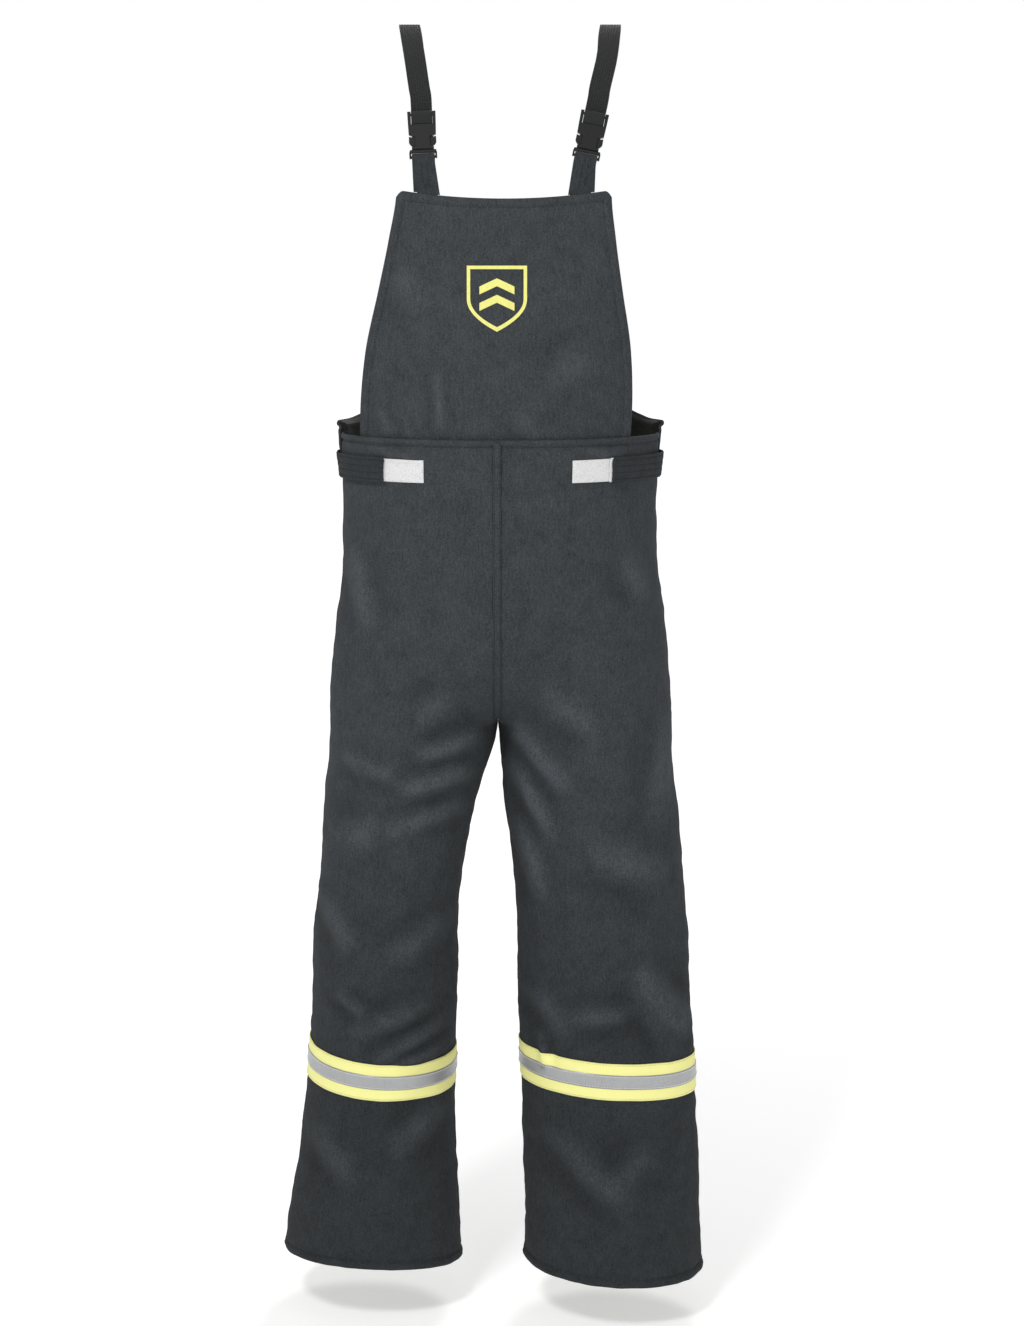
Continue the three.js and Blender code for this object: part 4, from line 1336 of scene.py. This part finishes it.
def spline(points, steps):
    """Evenly spaced points on the centripetal spline through the given ones, and its length."""
    ends = [points[0] * 2 - points[1]] + list(points) + [points[-1] * 2 - points[-2]]
    fine = []
    for p0, p1, p2, p3 in zip(ends, ends[1:], ends[2:], ends[3:]):
        d0, d1, d2 = [math.sqrt((b - a).length) for a, b in ((p0, p1), (p1, p2), (p2, p3))]
        t1 = ((p1 - p0) / d0 - (p2 - p0) / (d0 + d1) + (p2 - p1) / d1) * d1
        t2 = ((p2 - p1) / d1 - (p3 - p1) / (d1 + d2) + (p3 - p2) / d2) * d1
        for k in range(40):
            t = k / 40
            square, cube = -3 * p1 + 3 * p2 - 2 * t1 - t2, 2 * p1 - 2 * p2 + t1 + t2
            fine.append(p1 + t1 * t + square * t**2 + cube * t**3)
    fine.append(points[-1].copy())
    reach = [0.0]
    for a, b in zip(fine, fine[1:]):
        reach.append(reach[-1] + (b - a).length)
    even, i = [], 0
    for k in range(steps + 1):
        goal = reach[-1] * k / steps
        while i < len(fine) - 2 and reach[i + 1] < goal:
            i += 1
        even.append(fine[i].lerp(fine[i + 1], (goal - reach[i]) / (reach[i + 1] - reach[i])))
    return even, reach[-1]


def suspender_route(side):
    """Points of a webbing's middle line from buckle to anchor, and the way its width runs there."""
    up = (side.buckle_top - side.bar).normalized()
    across = (Vector((1, 0, 0)) - up * up.x).normalized()
    back = up.cross(across)
    run_lift = HOUSING_THICKNESS / 2 + RUN_CLEARANCE + WEBBING / 2
    run = (RUN_FROM, (RUN_FROM + STRAIGHT_TO) / 2, STRAIGHT_TO)
    straight = [side.bar + up * at + back * run_lift for at in run]
    out = PLY_GAP + WEBBING / 2 + side.cross_depth
    end_x = CENTRE_X - side.sign * ANCHOR_X
    lower = [
        Vector((side.sign * 0.062, 0.139, CROSS_Z + 0.078)),
        on_back(CENTRE_X, CROSS_Z, out + 0.001),
        on_back(CENTRE_X - side.sign * 0.024, CROSS_Z - 0.050, out + 0.001),
        on_back(end_x, ANCHOR_Z, out),
    ]
    end_across = (on_back(end_x + 0.001, ANCHOR_Z, out) - on_back(end_x, ANCHOR_Z, out)).normalized()
    return straight + side.shoulder + lower, end_across


class OVERALL_OT_suspenders(Operator):
    """Build the two suspender webbings"""

    bl_idname = "overall.suspenders"
    bl_label = "Suspenders"

    def execute(self, context):
        material = finishes(context)["webbing"]
        steps = 520
        for side in SIDES:
            points, end_across = suspender_route(side)
            route, length = spline(points, steps)

            def place(u, v, out, route=route, end_across=end_across):
                k = round(v * steps)
                along = (route[min(steps, k + 1)] - route[max(0, k - 1)]).normalized()
                across = Vector((1, 0, 0)).lerp(end_across, smooth((v - 0.8) / 0.18))
                across = (across - along * along.dot(across)).normalized()
                inward = along.cross(across)
                rib = RIB_HEIGHT * math.cos(u * WEBBING_RIBS * 2 * math.pi)
                return route[k] + across * ((u - 0.5) * WEBBING_WIDTH) - inward * (WEBBING / 2 + out + rib)

            piece = cloth(f"{side.name}_webbing", shares(28), shares(steps), place, (WEBBING_WIDTH, length),
                          material, WEBBING)
            settle(piece, [f"{side.name}_suspender"])
        return {"FINISHED"}


class OVERALL_OT_fittings(Operator):
    """Build the buckles, the suspender tabs and the patches on the back"""

    bl_idname = "overall.fittings"
    bl_label = "Buckles, Tabs and Patches"

    def execute(self, context):
        materials = finishes(context)
        for side in SIDES:
            name = side.name
            for node, label, body in (
                ("buckle_male", "buckle_plug", ROOT),
                ("prong_inner", "buckle_inner_prong", f"{name}_inner_prong"),
                ("prong_outer", "buckle_outer_prong", f"{name}_outer_prong"),
                ("buckle_housing", "buckle_body", f"{name}_housing_half"),
            ):
                piece = dressed(f"{name}_{node}", f"{name}_{label}", materials["plastic"], 0.0004)
                settle(piece, [f"{name}_{node}"], body)
            wrap = dressed(f"{name}_strap_wrap", f"{name}_webbing_fold", materials["webbing"], 0.0003)
            settle(wrap, [f"{name}_strap_wrap"], f"{name}_housing_half")
            for node, label in (("strap_tab", "suspender_tab"), ("strap_anchor", "webbing_anchor")):
                piece = dressed(f"{name}_{node}", f"{name}_{label}", materials["strap"], 0.0005)
                settle(piece, [f"{name}_{node}"])
        cross = dressed("cross_patch", "crossing_patch", materials["facing"], 0.0004)
        settle(cross, ["cross_patch"])

        lines, inside = [], 0.004
        for side in SIDES:
            front = laid_on(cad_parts[f"{side.name}_strap_tab"], -1)
            for gap in (-0.0035, 0.0035):
                foot = (side.tab_foot_x + gap, BIB_TOP_Z + inside)
                top = (side.bar.x + gap, side.bar.z - 2 * inside)
                lines.append((front, foot, top))
            back = laid_on(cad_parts[f"{side.name}_strap_anchor"], 1)
            low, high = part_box(f"{side.name}_strap_anchor")
            lines += boxed(back, low.x + inside, low.z + inside, high.x - inside, high.z - inside)
        behind = laid_on(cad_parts["cross_patch"], 1)
        low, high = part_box("cross_patch")
        middle, inset = (low + high) / 2, 0.006
        east, north = (high.x - inset, middle.z), (middle.x, high.z - inset)
        west, south = (low.x + inset, middle.z), (middle.x, low.z + inset)
        lines += [(behind, a, b) for a, b in ((east, north), (north, west), (west, south), (south, east))]
        settle(dark_stitches(context, "fitting_stitches", lines, lift=0.0003), [])
        return {"FINISHED"}


# ---- Stage ----


def floor_finish():
    """A pale floor that glows more the further out it lies, so that its edge melts into the backdrop."""
    finish = Finish("Pale floor", 0.9, Base_Color=(0.90, 0.90, 0.90, 1), Emission_Strength=1.0)
    reach = add_node(finish.tree, "ShaderNodeVectorMath", operation="LENGTH")
    finish.tree.links.new(finish.place.outputs["Object"], reach.inputs[0])
    glow = spread_node(
        finish.tree, reach.outputs["Value"], 1.0, 7.0, 0.36, 0.80, interpolation_type="SMOOTHSTEP"
    )
    finish.tree.links.new(glow, finish.shader.inputs["Emission Color"])
    return finish.material


def studio_world():
    """A white backdrop that is dimmer above, where only the lamps should count."""
    world = bpy.data.worlds.new("Studio")
    world.use_nodes = True
    tree = world.node_tree
    background = tree.nodes["Background"]
    background.inputs["Color"].default_value = (1, 1, 1, 1)
    direction = add_node(tree, "ShaderNodeTexCoord").outputs["Generated"]
    strength = spread_node(tree, split_node(tree, direction)["Z"], 0.28, 0.50, 1.0, 0.20)
    tree.links.new(strength, background.inputs["Strength"])
    return world


LAMPS = (  # name, place, size, power
    ("Key", (-1.1, -2.2, 1.9), 0.7, 62),
    ("Fill", (1.6, -3.2, -0.1), 1.4, 13),
    ("Top", (0, -0.4, 2.0), 1.6, 8),
    ("Rear", (0.9, 2.6, 1.5), 1.2, 46),
)
CAMERA_PLACE = (0.0155, -3.03, -0.276)
CAMERA_TILT = math.radians(80)
CAMERA_LENS = 63.6


class OVERALL_OT_stage(Operator):
    """Set the floor, lights, backdrop colour and camera"""

    bl_idname = "overall.stage"
    bl_label = "Stage"

    def execute(self, context):
        low, high = CAD_BOX
        down = Matrix.Translation((0, 0, low.z - context.scene.overall_sizes.floor_gap))
        bm = bmesh.new()
        bmesh.ops.create_grid(bm, x_segments=1, y_segments=1, size=30, matrix=down)
        made_of(bm, "floor", floor_finish())
        context.scene.world = studio_world()

        middle = (low + high) / 2
        for name, place, size, power in LAMPS:
            light = bpy.data.lights.new(name, "AREA")
            light.size, light.energy = size, power
            lamp = bpy.data.objects.new(name, light)
            lamp.location = place
            lamp.rotation_euler = (middle - lamp.location).to_track_quat("-Z", "Y").to_euler()
            context.collection.objects.link(lamp)

        lens = bpy.data.cameras.new("Camera")
        lens.sensor_fit = "VERTICAL"
        lens.sensor_height = 36.0
        lens.lens = CAMERA_LENS
        camera = bpy.data.objects.new("Camera", lens)
        camera.location = CAMERA_PLACE
        camera.rotation_euler = (CAMERA_TILT, 0, 0)
        context.collection.objects.link(camera)
        context.scene.camera = camera
        context.scene.view_settings.view_transform = "Standard"
        return {"FINISHED"}


STEPS = (
    OVERALL_OT_trousers,
    OVERALL_OT_linings,
    OVERALL_OT_seams,
    OVERALL_OT_trims,
    OVERALL_OT_bib,
    OVERALL_OT_emblem,
    OVERALL_OT_takeups,
    OVERALL_OT_suspenders,
    OVERALL_OT_fittings,
    OVERALL_OT_stage,
)


class OVERALL_PT_sidebar(Panel):
    """The garment's properties and the steps that build it"""

    bl_label = "Bib Overall"
    bl_space_type = "VIEW_3D"
    bl_region_type = "UI"
    bl_category = "Overall"

    def draw(self, context):
        for group in (context.scene.overall_sizes, context.scene.overall_colours):
            column = self.layout.column()
            for name in group.__annotations__:
                column.prop(group, name)
        for step in STEPS:
            self.layout.operator(step.bl_idname)


CLASSES = (OverallSizes, OverallColours, *STEPS, OVERALL_PT_sidebar)


def register():
    for cls in CLASSES:
        bpy.utils.register_class(cls)
    bpy.types.Scene.overall_sizes = PointerProperty(type=OverallSizes)
    bpy.types.Scene.overall_colours = PointerProperty(type=OverallColours)


def unregister():
    del bpy.types.Scene.overall_colours
    del bpy.types.Scene.overall_sizes
    for cls in reversed(CLASSES):
        bpy.utils.unregister_class(cls)


def main():
    register()
    for step in STEPS:
        group, name = step.bl_idname.split(".")
        getattr(getattr(bpy.ops, group), name)()


if __name__ == "__main__":
    main()
